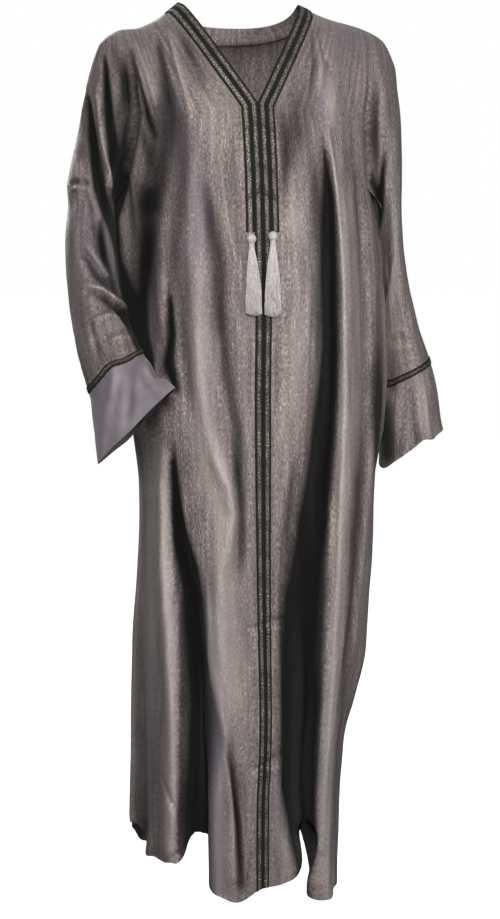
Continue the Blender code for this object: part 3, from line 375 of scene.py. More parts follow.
# Each light's name, place, aim, width and power.
LIGHTS = (
    ("key", (-0.7, -3.3, 0.7), (0, 0, -0.6), 0.9, 132),
    ("side", (1.6, -2.9, 0.3), (0, 0, -0.6), 0.8, 45),
    ("top", (0.2, 1.4, 2.4), (0, 0, -0.4), 2.0, 35),
    ("behind", (-0.6, 3.2, 0.5), (0, 0, -0.6), 1.4, 70),
)

# The picture's plane: how far from the camera, and where the origin falls on it.
PICTURE_DISTANCE = 3.4000
PICTURE_ORIGIN = (0.01863, -0.70389)
# How many flank widths a fold reaches to either side.
FOLD_REACH = 2.6
# How squarely the cloth faces the camera where the picture's folds have their whole depth.
FACING_SHARE = 0.35
# How much deeper the picture's folds are made than their tables say.
FOLD_DEPTH = 1.4
# A rise that counts as a whole ridge or valley for the painted highlight and painted shade in the colour, and
# how much the large folds count towards them.
LIGHT_AND_SHADE_RISE = 0.0055
CREASE_LIGHT_AND_SHADE = 0.35
GIRTH_DEGREE = 0.0034
SLEEVE_DEGREE = 0.0009
# Cell sizes, height and seed of each layer of ripples.
CRINKLES = (
    ((0.011, 0.011, 0.055), 0.00045, 1),
    ((0.005, 0.005, 0.022), 0.00018, 2),
    ((0.030, 0.030, 0.160), 0.00080, 3),
)

# The ripples' random numbers: a shift off zero, and the factors that mix a cell's place and seed.
NOISE_SHIFT = 500.0
CELL_FACTORS = (73856093, 19349663, 83492791, 2654435761)
MIX_FACTORS = (2246822519, 3266489917)
LOW_BITS = 0xFFFFFFFF

# How far the placket hangs off the middle at each height, and how wide the cloth goes with it.
PLACKET_SHIFT = table(
    "height across",
    (
        (0.03, 0.0), (-0.06, 0.0012), (-0.127, 0.0038), (-0.200, 0.0047), (-0.245, 0.0057),
        (-0.335, 0.0062), (-0.440, 0.0055), (-0.600, 0.0023), (-0.900, 0.0017), (-1.060, 0.0020),
        (-1.140, 0.0), (-1.230, -0.0050), (-1.370, -0.0067), (-1.450, -0.0070),
    ),
)
SHIFT_WIDTH = 0.11
# How wide the braid shows at each height, as a share of its row: lower down the placket turns on edge.
BRAID_SHOWN = table("height share", ((-1.45, 0.78), (-1.1, 0.78), (-0.85, 0.88), (-0.6, 1.0), (0.1, 1.0)))

HIDDEN_COLUMNS = "across height left right rise"


def girth_folds(rows):
    """Folds round the body, from rows of girth angle, height, the flanks' widths in degrees, and rise."""
    numbers = np.array(rows, float)
    numbers[:, [0, 2, 3]] *= GIRTH_DEGREE
    return table(HIDDEN_COLUMNS, numbers)


HIDDEN_FOLDS = tuple(
    girth_folds(rows)
    for rows in (
        # from the shoulders down the back
        ((118, -0.06, 2, 2, 0), (122, -0.12, 3, 2.5, 0.004), (129, -0.24, 3, 3, 0.005),
         (133, -0.40, 3, 3, 0.002), (134, -0.5, 2, 2, 0)),
        ((236, -0.05, 2, 2, 0), (232, -0.13, 2.5, 3, 0.004), (224, -0.26, 3, 3, 0.0055),
         (221, -0.38, 3, 3, 0.002), (220, -0.46, 2, 2, 0)),
        ((112, -0.08, 2, 2, 0), (115, -0.16, 2.5, 3, -0.005), (121, -0.28, 3, 3, -0.006),
         (124, -0.44, 3, 3, -0.002), (125, -0.52, 2, 2, 0)),
        ((243, -0.08, 2, 2, 0), (240, -0.17, 3, 2.5, -0.005), (234, -0.30, 3, 3, -0.006),
         (232, -0.40, 3, 3, -0.002), (231, -0.48, 2, 2, 0)),
        ((103, -0.16, 2, 2, 0), (104, -0.24, 3, 2.5, -0.008), (108, -0.36, 3, 3, -0.009),
         (111, -0.50, 3, 3, -0.003), (112, -0.58, 2, 2, 0)),
        ((257, -0.15, 2, 2, 0), (256, -0.24, 2.5, 3, -0.008), (251, -0.34, 3, 3, -0.009),
         (249, -0.46, 3, 3, -0.003), (248, -0.55, 2, 2, 0)),
        # down the back from the shoulder blades
        ((150, -0.22, 3, 3, 0), (151, -0.38, 3.5, 4, -0.003), (150, -0.60, 4, 4, -0.006),
         (149, -0.85, 4, 4, -0.004), (148, -1.0, 3, 3, 0)),
        ((168, -0.26, 3, 3, 0), (169, -0.44, 4, 4, 0.003), (170, -0.70, 4, 4, 0.006),
         (171, -1.0, 4, 4, 0.008), (171, -1.4, 4, 4, 0.008)),
        ((191, -0.30, 3, 3, 0), (190, -0.50, 4, 4, 0.003), (190, -0.76, 4, 4, 0.005),
         (189, -1.05, 4, 4, 0.008), (189, -1.4, 4, 4, 0.009)),
        ((211, -0.24, 3, 3, 0), (210, -0.42, 4, 3.5, -0.003), (211, -0.64, 4, 4, -0.006),
         (212, -0.90, 4, 4, -0.004), (213, -1.1, 3, 3, 0)),
        ((129, -0.55, 3, 3, 0), (129, -0.75, 3.5, 3.5, 0.005), (130, -1.0, 3.5, 3.5, 0.009),
         (130, -1.4, 3.5, 3.5, 0.012)),
        ((232, -0.60, 3, 3, 0), (231, -0.80, 3.5, 3.5, 0.005), (230, -1.05, 3.5, 3.5, 0.009),
         (230, -1.4, 3.5, 3.5, 0.011)),
        ((152, -1.0, 3, 3, 0), (153, -1.15, 3, 3, -0.006), (153, -1.4, 3, 3, -0.011)),
        ((208, -0.98, 3, 3, 0), (208, -1.15, 3, 3, -0.006), (207, -1.4, 3, 3, -0.010)),
        # the sides
        ((97, -0.50, 2, 2, 0), (98, -0.66, 3, 3, 0.005), (99, -0.90, 3, 3, 0.007), (99, -1.4, 3, 3, 0.010)),
        ((107, -0.62, 2, 2, 0), (107, -0.80, 3, 3, -0.006), (108, -1.05, 3, 3, -0.009),
         (108, -1.4, 3, 3, -0.013)),
        ((263, -0.50, 2, 2, 0), (262, -0.68, 3, 3, 0.005), (261, -0.90, 3, 3, 0.007),
         (261, -1.4, 3, 3, 0.009)),
        ((253, -0.60, 2, 2, 0), (252, -0.82, 3, 3, -0.006), (251, -1.05, 3, 3, -0.009),
         (251, -1.4, 3, 3, -0.012)),
        ((88, -0.66, 2, 2, 0), (88, -0.84, 2.5, 3, -0.004), (88, -1.1, 3, 3, -0.006),
         (87, -1.4, 3, 3, -0.008)),
        ((272, -0.70, 2, 2, 0), (272, -0.90, 2.5, 3, -0.002), (273, -1.1, 3, 3, -0.003),
         (273, -1.4, 3, 3, -0.003)),
        # the cloth that swells out beside each underarm
        ((270, -0.16, 9, 9, 0), (270, -0.24, 10, 10, 0.008), (270, -0.36, 10, 10, 0.013),
         (270, -0.46, 10, 10, 0.008), (270, -0.56, 9, 9, 0)),
        ((262, -0.20, 9, 9, 0), (262, -0.30, 9, 9, 0.004), (262, -0.42, 9, 9, 0)),
        # and where the left side nears the cuff
        ((80, -0.34, 9, 9, 0), (80, -0.44, 10, 10, 0.008), (82, -0.56, 11, 10, 0.012),
         (84, -0.65, 11, 10, 0.010), (86, -0.73, 9, 9, 0)),
        # small ones between
        ((140, -0.12, 2, 2, 0), (143, -0.20, 2, 2, -0.0022), (146, -0.33, 2, 2, 0)),
        ((160, -0.10, 2, 2, 0), (161, -0.19, 2, 2, 0.0018), (161, -0.30, 2, 2, 0)),
        ((201, -0.10, 2, 2, 0), (199, -0.18, 2, 2, 0.0018), (198, -0.28, 2, 2, 0)),
        ((219, -0.12, 2, 2, 0), (216, -0.22, 2, 2, -0.0022), (214, -0.34, 2, 2, 0)),
        ((161, -0.62, 2, 2, 0), (160, -0.78, 2, 2, -0.0025), (161, -0.95, 2, 2, 0)),
        ((199, -0.70, 2, 2, 0), (200, -0.88, 2, 2, -0.0025), (200, -1.02, 2, 2, 0)),
        ((138, -0.90, 2, 2, 0), (139, -1.02, 2, 2, 0.003), (139, -1.25, 2, 2, 0.004),
         (139, -1.4, 2, 2, 0.004)),
        ((222, -0.86, 2, 2, 0), (221, -1.0, 2, 2, 0.003), (221, -1.22, 2, 2, 0.004),
         (221, -1.4, 2, 2, 0.004)),
    )
)


def sleeve_folds(rows):
    """Folds round the back of the sleeves, from rows of turn from the inner side, height, flanks and rise."""
    numbers = np.array(rows, float)
    numbers[:, 0] *= SLEEVE_DEGREE
    return table(HIDDEN_COLUMNS, numbers)


SLEEVE_BACK_FOLDS = tuple(
    sleeve_folds(rows)
    for rows in (
        ((200, -0.27, 0.004, 0.004, 0), (230, -0.31, 0.006, 0.005, 0.003),
         (262, -0.36, 0.006, 0.006, 0.004), (290, -0.39, 0.005, 0.005, 0)),
        ((205, -0.33, 0.004, 0.004, 0), (240, -0.37, 0.005, 0.005, -0.004),
         (275, -0.40, 0.005, 0.005, -0.004), (310, -0.42, 0.004, 0.004, 0)),
        ((195, -0.40, 0.004, 0.004, 0), (230, -0.42, 0.005, 0.005, 0.004),
         (265, -0.45, 0.006, 0.005, 0.003), (300, -0.46, 0.004, 0.004, 0)),
        ((215, -0.45, 0.004, 0.004, 0), (250, -0.48, 0.005, 0.005, -0.003),
         (285, -0.51, 0.005, 0.005, -0.003), (315, -0.53, 0.004, 0.004, 0)),
        ((240, -0.50, 0.006, 0.006, 0), (245, -0.56, 0.008, 0.008, 0.003),
         (250, -0.62, 0.010, 0.010, 0.003), (250, -0.70, 0.010, 0.010, 0.003)),
        ((285, -0.52, 0.006, 0.006, 0), (283, -0.58, 0.008, 0.008, -0.003),
         (280, -0.64, 0.009, 0.009, -0.004), (280, -0.70, 0.009, 0.009, -0.004)),
    )
)

# Folds laid in the picture's frame of 500 by 919: how far right and down each point is and how wide
# each flank, in pixels, and how far the fold stands out of the cloth, or in where negative, in millimetres.
FOLD_COLUMNS = "across height left right rise"
# The origin's pixel, and a pixel's size at the middle of the garment, in tenths of a millimetre.
ORIGIN_PIXEL = (238.5, 25)
PIXEL_TENTHS = 16.2
RISE_TENTHS = 10
TENTH = 1e-4


def picture_place(right, down):
    return (right - ORIGIN_PIXEL[0]) * PIXEL_TENTHS, -(down - ORIGIN_PIXEL[1]) * PIXEL_TENTHS


def folds(*rows, rise_steps=RISE_TENTHS):
    """Each fold as a table in metres, true to a tenth of a millimetre."""
    tables = []
    for points in rows:
        right, down, left_flank, right_flank, rise = np.array(points, float).T
        flanks = (left_flank * PIXEL_TENTHS, right_flank * PIXEL_TENTHS)
        tenths = np.round(np.stack([*picture_place(right, down), *flanks, rise * rise_steps], axis=1))
        tables.append(table(FOLD_COLUMNS, tenths * TENTH))
    return tuple(tables)


BODY_FOLDS = folds(
    # black fold between the arm and the body
    ((103, 52, 2, 2, 0), (104, 66, 2.5, 3, -5), (108, 108, 3, 4, -9), (113, 150, 3.5, 5, -9),
     (117, 185, 4, 6, -5), (121, 220, 4, 6, 0)),
    # shoulder ridge
    ((107, 56, 3, 4, 0), (110, 68, 3, 5, 2), (116, 92, 4, 6, 2.2), (121, 112, 5, 7, 2),
     (126, 155, 6, 8, 1.2), (129, 220, 7, 8, 1), (130, 270, 6, 6, 0)),
    # first valley from the shoulder
    ((129, 44, 3, 3, 0), (131, 56, 3.5, 3, -4), (140, 89, 4, 3, -7), (146, 113, 4, 3, -7),
     (151, 128, 3.5, 3, -4.5), (157, 142, 3, 2, 0)),
    # ridge beside it
    ((133, 40, 3, 3, 0), (137, 52, 3, 4, 4.5), (146, 72, 4, 4, 6), (152, 90, 4, 5, 4),
     (157, 108, 4, 5, 0)),
    # second valley from the shoulder
    ((155, 34, 3, 3, 0), (158, 46, 3, 3, -4), (164, 72, 4, 3.5, -5), (170, 100, 6, 6, -4.5),
     (172, 118, 8, 8, -4), (170, 140, 8, 8, -3.5), (166, 165, 8, 8, -3), (160, 191, 9, 7, -3),
     (153, 230, 9, 6, -3), (147, 262, 9, 6, -3.4), (142, 300, 9, 6, -4), (142, 338, 8, 5, -4),
     (151, 366, 6, 4, 0)),
    # ridge toward the neck
    ((167, 28, 2, 2, 0), (170, 38, 2.5, 3, 3.5), (177, 66, 3, 3.5, 5), (184, 88, 3.5, 4, 4),
     (189, 106, 4, 5, 2), (192, 140, 4, 6, 1.2), (190, 180, 4, 7, 0.8), (184, 215, 5, 6, 0)),
    # thin ridge beside the placket
    ((218, 150, 2, 3, 0), (221, 166, 2, 3, 2.2), (224, 199, 2.2, 3, 3.2), (229, 232, 2.5, 3.5, 3.6),
     (239, 266, 3, 4, 3.2), (244, 310, 3, 4, 3.5), (246, 360, 3, 4, 3.8), (248, 420, 3, 4, 3.4),
     (251, 455, 3, 3.5, 3.0), (252, 520, 2.8, 3.5, 3.2), (252, 580, 2.8, 3.5, 2.6), (251, 612, 3, 3, 0)),
    # soft valley beside it
    ((208, 170, 4, 4, 0), (213, 215, 5, 5, -2), (220, 262, 7, 6, -4), (223, 320, 8, 7, -4.5),
     (226, 372, 7, 7, -4), (232, 400, 6, 6, -4), (239, 440, 6, 5, -5), (242, 500, 6, 5, -5),
     (242, 555, 5, 5, -4), (240, 590, 5, 4, 0)),
    # ridge down the middle of that half
    ((203, 200, 6, 6, 0), (202, 245, 7, 7, 1.6), (199, 290, 8, 7, 2.8), (198, 340, 8, 7, 4),
     (200, 385, 8, 7, 4.5), (207, 430, 8, 8, 3), (215, 458, 7, 7, 4), (228, 488, 7, 7, 6),
     (233, 516, 7, 7, 6.5), (228, 545, 7, 7, 5), (222, 572, 7, 8, 4), (220, 620, 8, 9, 3),
     (226, 680, 8, 9, 2), (232, 720, 8, 8, 0)),
    # facet under the arm
    ((160, 258, 4, 4, 0), (162, 285, 6, 6, 3.5), (162, 318, 7, 6, 4), (160, 345, 5, 5, 2),
     (160, 365, 4, 4, 0)),
    # dark line beside the facet
    ((167, 282, 2, 2, 0), (169, 305, 2.5, 3, -3.5), (171, 335, 3, 3.5, -5), (167, 360, 3.5, 4, -6),
     (172, 384, 3, 4, -3), (178, 400, 3, 3, 0)),
    # small valley over the waist
    ((184, 240, 4, 5, 0), (181, 300, 5, 6, -2.5), (183, 350, 5, 6, -3), (188, 395, 5, 5, -2),
     (192, 420, 4, 4, 0)),
    # upper part of the deep valley
    ((172, 440, 3, 3, 0), (172, 462, 3, 3.5, -5), (175, 505, 4, 5, -8), (179, 540, 4, 7, -9),
     (190, 570, 5, 7, -8), (196, 600, 6, 6, -4), (198, 640, 6, 5, 0)),
    # ridge of the outer lobe
    ((163, 440, 5, 4, 0), (163, 486, 6, 4.5, 5), (162, 530, 6, 6, 4.5), (162, 562, 6, 6, 4),
     (165, 600, 7, 5, 4.5), (169, 640, 7, 5, 5), (172, 700, 7, 4, 5.5), (174, 777, 8, 4, 5),
     (173, 816, 7, 4, 4), (171, 850, 6, 4, 3)),
    # second ridge of the outer lobe
    ((150, 450, 4, 4, 0), (150, 500, 5, 5, 2.5), (147, 560, 5, 5, 2), (150, 620, 6, 6, 1.5),
     (152, 700, 6, 6, 1.2), (152, 760, 6, 6, 0)),
    # valley at the lobe's outer side
    ((156, 470, 3, 3, 0), (156, 520, 4, 4, -2.5), (155, 570, 4, 5, -2.5), (158, 620, 4, 5, -2),
     (160, 690, 5, 5, -1.5), (162, 760, 4, 4, 0)),
    # crease at the lobe's foot
    ((160, 770, 2, 2, 0), (167, 790, 2, 2.5, -2), (174, 806, 2, 2.5, -2.5), (180, 822, 2, 2, 0)),
    # edge of the flat strip
    ((206, 570, 2, 2, 0), (209, 610, 2.5, 3, 3), (212, 654, 2.5, 3, 3.5), (220, 700, 2.5, 3, 2.5),
     (227, 746, 2.5, 3, 3), (231, 800, 2.5, 3, 3.5), (233, 835, 2.5, 3, 3.5), (234, 880, 2.5, 3, 3)),
    # crumple by the strip
    ((226, 735, 2, 2, 0), (229, 758, 2.5, 2.5, -4), (234, 790, 3, 3, -5), (238, 822, 3, 3, -5),
     (241, 862, 3, 3, -5), (243, 893, 3, 3, -4)),
    # second crumple
    ((233, 778, 2, 2, 0), (240, 806, 2, 2.5, 3), (245, 840, 2.5, 2.5, 3.6), (247, 872, 2.5, 2.5, 3.6)),
    # third crumple
    ((240, 745, 2, 2, 0), (247, 775, 2.5, 2.5, 2.2), (251, 805, 2.5, 2.5, 2.8), (253, 840, 2.5, 2, 2.4),
     (254, 870, 2, 2, 0)),
    # right shoulder pleat by the neck
    ((312, 24, 1.5, 1.5, 0), (313, 34, 1.6, 1.8, -2.5), (315, 62, 2, 2.5, -3.5), (313, 84, 2.5, 2.5, -3),
     (309, 108, 3, 3, 0)),
    # second pleat by the neck
    ((316, 26, 1.5, 1.5, 0), (319, 38, 1.6, 1.6, -2), (325, 58, 2, 2, -2.6), (334, 76, 2, 2.5, 0)),
    # ridge between the pleats
    ((317, 30, 1.5, 1.5, 0), (320, 52, 2, 2.5, 2.2), (321, 75, 2.5, 3, 2.5), (321, 96, 3, 3, 0)),
    # soft ridge of that shoulder
    ((333, 72, 4, 5, 0), (333, 98, 6, 6, 2.5), (331, 122, 5, 6, 2.5), (328, 140, 4, 5, 0)),
    # wedge valley
    ((324, 130, 1.5, 1.5, 0), (325, 145, 2, 1.6, -3), (328, 172, 3, 2, -6), (331, 198, 3.6, 2.4, -9),
     (332, 240, 4.2, 3, -12), (332, 290, 4.4, 4, -13), (332, 340, 4, 4.5, -13), (331, 390, 4.6, 5, -12.5),
     (327, 440, 6, 6, -12), (322, 490, 8, 7, -11), (318, 540, 8, 7, -9), (314, 600, 8, 8, -6),
     (311, 660, 7, 8, 0)),
    # sharp ridge beside the wedge
    ((328, 128, 1.5, 2, 0), (331, 152, 1.6, 2.4, 3.2), (336, 190, 1.7, 2.8, 4.2), (340, 235, 1.8, 3, 4.2),
     (343, 285, 2, 3.5, 4), (344, 335, 2.2, 4, 3.8), (344, 400, 2.6, 5, 3.6), (342, 455, 2.6, 5.5, 3.8),
     (340, 500, 2.8, 5.5, 4), (338, 562, 2.8, 5.5, 4.2), (335, 624, 3, 5, 4.2), (331, 700, 3.4, 5, 4),
     (326, 777, 3.4, 4, 3.5), (321, 850, 4, 4, 2)),
    # third valley on that side
    ((349, 130, 3, 3, 0), (350, 160, 3, 4, -1.2), (357, 198, 4, 4, -1.0), (362, 250, 4, 5, -0.8),
     (366, 300, 4, 5, -1.0), (368, 350, 4, 5, -1.2), (366, 420, 5, 6, -1.8), (362, 480, 5, 6, -2.4),
     (356, 540, 5, 6, -2.5), (352, 600, 5, 5, 0)),
    # ridge at the outer side
    ((352, 140, 2.5, 3, 0), (353, 168, 3, 3, 2.2), (352, 210, 3, 3.5, 1.5), (354, 240, 3, 3, 0)),
    # outer ridge of the tube
    ((374, 330, 3, 3, 0), (374, 390, 4, 4, 3), (371, 450, 4, 4, 3), (366, 520, 4, 4, 2.5),
     (360, 590, 4, 4, 2.5), (353, 640, 3.5, 4, 3), (349, 690, 3, 3, 0)),
    # dark line inside the outer ridge
    ((358, 560, 2.5, 2.5, 0), (352, 610, 3, 3, -2.5), (346, 660, 3, 3, -3), (342, 710, 3, 3, -2),
     (338, 760, 3, 3, 0)),
    # light strip beside the placket
    ((281, 400, 3, 3, 0), (281, 450, 4, 5, 2.5), (277, 500, 4, 5, 3), (274, 550, 3.5, 4, 3),
     (274, 600, 3.5, 4, 2.5), (274, 650, 3, 4, 2), (275, 700, 3, 3, 0)),
    # crumpled valley beside it
    ((298, 440, 3, 3, 0), (294, 475, 4, 4, -4), (288, 520, 4, 5, -5), (285, 560, 5, 6, -4.5),
     (287, 600, 5, 6, -4), (290, 640, 6, 6, 0)),
    # crumple across
    ((275, 540, 2, 2, 0), (284, 552, 2, 2, 1.6), (292, 570, 2, 2, 0)),
    # crumple across two
    ((276, 565, 2, 2, 0), (286, 576, 2, 2, 1.6), (296, 590, 2, 2, 0)),
    # crumple across three
    ((285, 512, 2, 2, 0), (292, 524, 2, 2, 1.5), (299, 545, 2, 2, 0)),
    # little crease at the hem
    ((279, 760, 1.5, 1.5, 0), (285, 748, 2, 2, 2), (290, 735, 1.5, 1.5, 0)),
    # textured light panel
    ((284, 180, 4, 5, 0), (292, 230, 7, 8, 3), (297, 290, 8, 9, 3.5), (297, 350, 8, 9, 3),
     (293, 410, 8, 8, 2), (290, 440, 6, 6, 0)),
    # shade beside the placket
    ((279, 130, 4, 4, 0), (281, 170, 4, 5, -2.0), (284, 215, 4, 5, -1.6), (281, 260, 3, 4, 0)),
    # thin fold in the light panel
    ((305, 190, 2, 2, 0), (307, 240, 2.5, 2.5, 1.6), (309, 300, 2.5, 2.5, 1.8), (307, 370, 2.5, 2.5, 1.4),
     (304, 430, 2, 2, 0)),
)
ARM_FOLDS = folds(
    # the same fold on the arm
    ((103, 52, 2, 2, 0), (104, 66, 2.5, 3, -4), (108, 108, 3, 3, -7), (112, 159, 3, 3, -7),
     (115, 185, 3, 3, 0)),
    # dark fold on the upper arm
    ((86, 88, 2, 2, 0), (87, 105, 3, 3, -5), (92, 143, 4, 3.5, -9), (99, 180, 5, 4, -9),
     (104, 205, 5, 4, -4), (108, 223, 4, 3, 0)),
    # light crease beside it
    ((97, 80, 2, 2, 0), (98, 96, 2.2, 2.5, 3.5), (102, 135, 2.5, 2.5, 5), (108, 167, 2.5, 2.5, 5),
     (112, 195, 2, 2, 0)),
    # shade from shoulder to underarm
    ((376, 80, 4, 4, 0), (376, 100, 5, 5, -2.0), (372, 140, 5, 5, -2.0), (374, 165, 4, 4, 0)),
    # dark notch at the underarm
    ((385, 150, 2, 2, 0), (384, 163, 3, 3, -2), (381, 190, 3.5, 4, -3), (380, 212, 3, 3.5, -2.5),
     (379, 232, 1.5, 2, 0)),
    # ridge over the notch
    ((389, 150, 2, 3, 0), (388, 175, 3, 4, 1.4), (387, 205, 3, 4, 1.5), (385, 235, 3, 4, 1),
     (384, 255, 2, 3, 0)),
    # fold down the left sleeve
    ((393, 258, 2, 2, 0), (388, 283, 2.6, 2, -2.6), (383, 308, 3, 2, -2.6), (380, 325, 2, 2, 0)),
    # ridge beside that fold
    ((400, 252, 2, 4, 0), (396, 275, 2, 5, 3), (391, 300, 2.2, 6, 4), (388, 325, 2, 6, 3),
     (388, 345, 2, 6, 2.4), (390, 362, 2, 4, 0)),
    # crinkle at the left elbow
    ((385, 337, 2, 2, 0), (392, 332, 2.4, 2.4, 1.4), (402, 330, 2.4, 2.4, 1.2), (411, 331, 2, 2, 0)),
    # crinkle at the left elbow, lower
    ((386, 346, 2, 2, 0), (394, 341, 2.4, 2.4, -1.5), (404, 339, 2.4, 2.4, -1.3), (413, 341, 2, 2, 0)),
    # crinkle at the left elbow, third
    ((387, 355, 2, 2, 0), (396, 350, 2.4, 2.4, 1.3), (406, 348, 2.4, 2.4, 1.2), (415, 350, 2, 2, 0)),
    # long shade of the left sleeve
    ((408, 180, 3, 3, 0), (412, 220, 3, 3, -1), (416, 270, 3, 3, -1), (420, 320, 3, 3, 0)),
    # crease at the right armhole
    ((70, 183, 2, 2, 0), (75, 182, 2.4, 2, -3.5), (84, 182, 2.4, 2, -3.5), (91, 186, 2, 2, 0)),
    # roll under that crease
    ((70, 189, 2, 2, 0), (77, 188, 2, 3, 2), (87, 189, 2, 3, 2), (94, 194, 2, 2, 0)),
    # upper elbow ridge
    ((80, 244, 2, 2, 0), (88, 248, 2.5, 2.5, 2), (97, 260, 3, 2.5, 3.5), (106, 274, 3, 2.5, 3),
     (112, 284, 2, 2, 0)),
    # upper elbow valley
    ((78, 254, 2, 2, 0), (85, 262, 2.5, 2.5, -3), (94, 275, 3, 2.5, -4.5), (104, 283, 2.5, 2.5, -3.5),
     (110, 292, 2, 2, 0)),
    # sharp elbow ridge
    ((78, 287, 1.5, 1.5, 0), (88, 285, 1.8, 2, 3), (102, 289, 2, 2.2, 4.5), (119, 303, 2, 2.4, 5.5),
     (132, 320, 2, 2.4, 4.5), (141, 335, 1.5, 1.5, 0)),
    # valley under the sharp ridge
    ((82, 294, 1.5, 1.5, 0), (92, 293, 2, 2.4, -3), (108, 301, 2.2, 2.6, -4.5), (122, 315, 2.2, 2.8, -5),
     (133, 330, 2, 2.5, -4), (140, 344, 1.5, 2, 0)),
    # middle crease of the lower sleeve
    ((92, 320, 2, 2, 0), (100, 317, 2, 2.4, 2), (112, 314, 2, 2.4, 2.4), (123, 317, 2, 2, 0)),
    # line down the lower sleeve
    ((90, 312, 1.5, 1.5, 0), (92, 328, 2, 2, -2.4), (97, 348, 2, 2, -2), (101, 362, 1.5, 1.5, 0)),
    # roll above the cuff
    ((108, 341, 2, 2, 0), (118, 336, 2, 2.2, 2), (132, 338, 2, 2, 2.2), (140, 346, 1.5, 1.5, 0)),
    # outer ridge of the upper arm
    ((76, 150, 2, 2, 0), (80, 165, 2.5, 3, 2.4), (79, 200, 3, 3, 2), (76, 235, 3, 3, 2),
     (74, 265, 2, 2, 0)),
    # shade in the upper arm
    ((86, 195, 3, 3, 0), (90, 210, 3, 3, -2.4), (92, 228, 3, 3, -2), (95, 243, 2.5, 2.5, 0)),
    # lump on the right cuff
    ((139, 362, 2, 2, 0), (146, 369, 2.5, 2.5, 3.5), (153, 376, 2.5, 2.5, 2), (162, 381, 2, 2, 0)),
    # shade on the right cuff
    ((140, 374, 2, 2, 0), (148, 384, 3, 3, -2.2), (156, 394, 3, 3, -1.5), (162, 404, 2, 2, 0)),
    # long fold of the right cuff
    ((118, 352, 3, 3, 0), (114, 380, 4, 4, 2), (108, 410, 5, 5, 2.2), (104, 440, 5, 5, 2),
     (101, 465, 4, 4, 0)),
    # long valley of the right cuff
    ((132, 352, 3, 3, 0), (131, 380, 4, 4, -2), (128, 410, 4, 4, -2.2), (126, 435, 4, 4, 0)),
    # fold of the left cuff
    ((398, 372, 3, 3, 0), (397, 400, 4, 4, 2.4), (396, 430, 4, 5, 3), (395, 462, 4, 5, 2)),
    # valley of the left cuff
    ((410, 368, 3, 3, 0), (412, 395, 4, 4, -2.4), (414, 425, 4, 5, -3), (416, 448, 4, 5, -3)),
    # second fold of the left cuff
    ((424, 368, 3, 3, 0), (427, 395, 4, 4, 2.2), (431, 420, 4, 4, 2.6), (434, 442, 4, 4, 2)),
)
PLACKET_FOLDS = folds(
    # crease across the placket
    ((250, 628, 2, 2, 0), (257, 626, 2.2, 2.2, -2.0), (264, 624, 2.4, 2.4, -2.6),
     (272, 621, 2.4, 2.4, -2.6), (282, 617, 2, 2, -1.5), (290, 612, 2, 2, 0)),
    # the ridge under it
    ((252, 637, 2, 2, 0), (259, 635, 2.2, 2.2, 1.6), (266, 633, 2.4, 2.4, 2.0), (274, 629, 2.2, 2.2, 1.4),
     (282, 626, 2, 2, 0)),
    # small crease above it
    ((256, 615, 1.6, 1.6, 0), (263, 616, 1.8, 1.8, 1.4), (271, 613, 1.8, 1.8, 1.2),
     (277, 610, 1.6, 1.6, 0)),
    # lower crease across the placket
    ((248, 772, 2, 2, 0), (256, 768, 2.2, 2.2, -2.2), (264, 765, 2.4, 2.4, -2.6),
     (272, 760, 2.2, 2.2, -2.2), (282, 752, 2, 2, -1.5), (289, 744, 2, 2, 0)),
    # the ridge under the lower crease
    ((250, 781, 2, 2, 0), (258, 777, 2.2, 2.2, 1.8), (266, 774, 2.2, 2.2, 2.0), (275, 769, 2, 2, 1.4),
     (283, 762, 2, 2, 0)),
    # small crease above the lower one
    ((254, 757, 1.6, 1.6, 0), (262, 755, 1.8, 1.8, 1.4), (270, 750, 1.8, 1.8, 1.2),
     (278, 744, 1.6, 1.6, 0)),
)
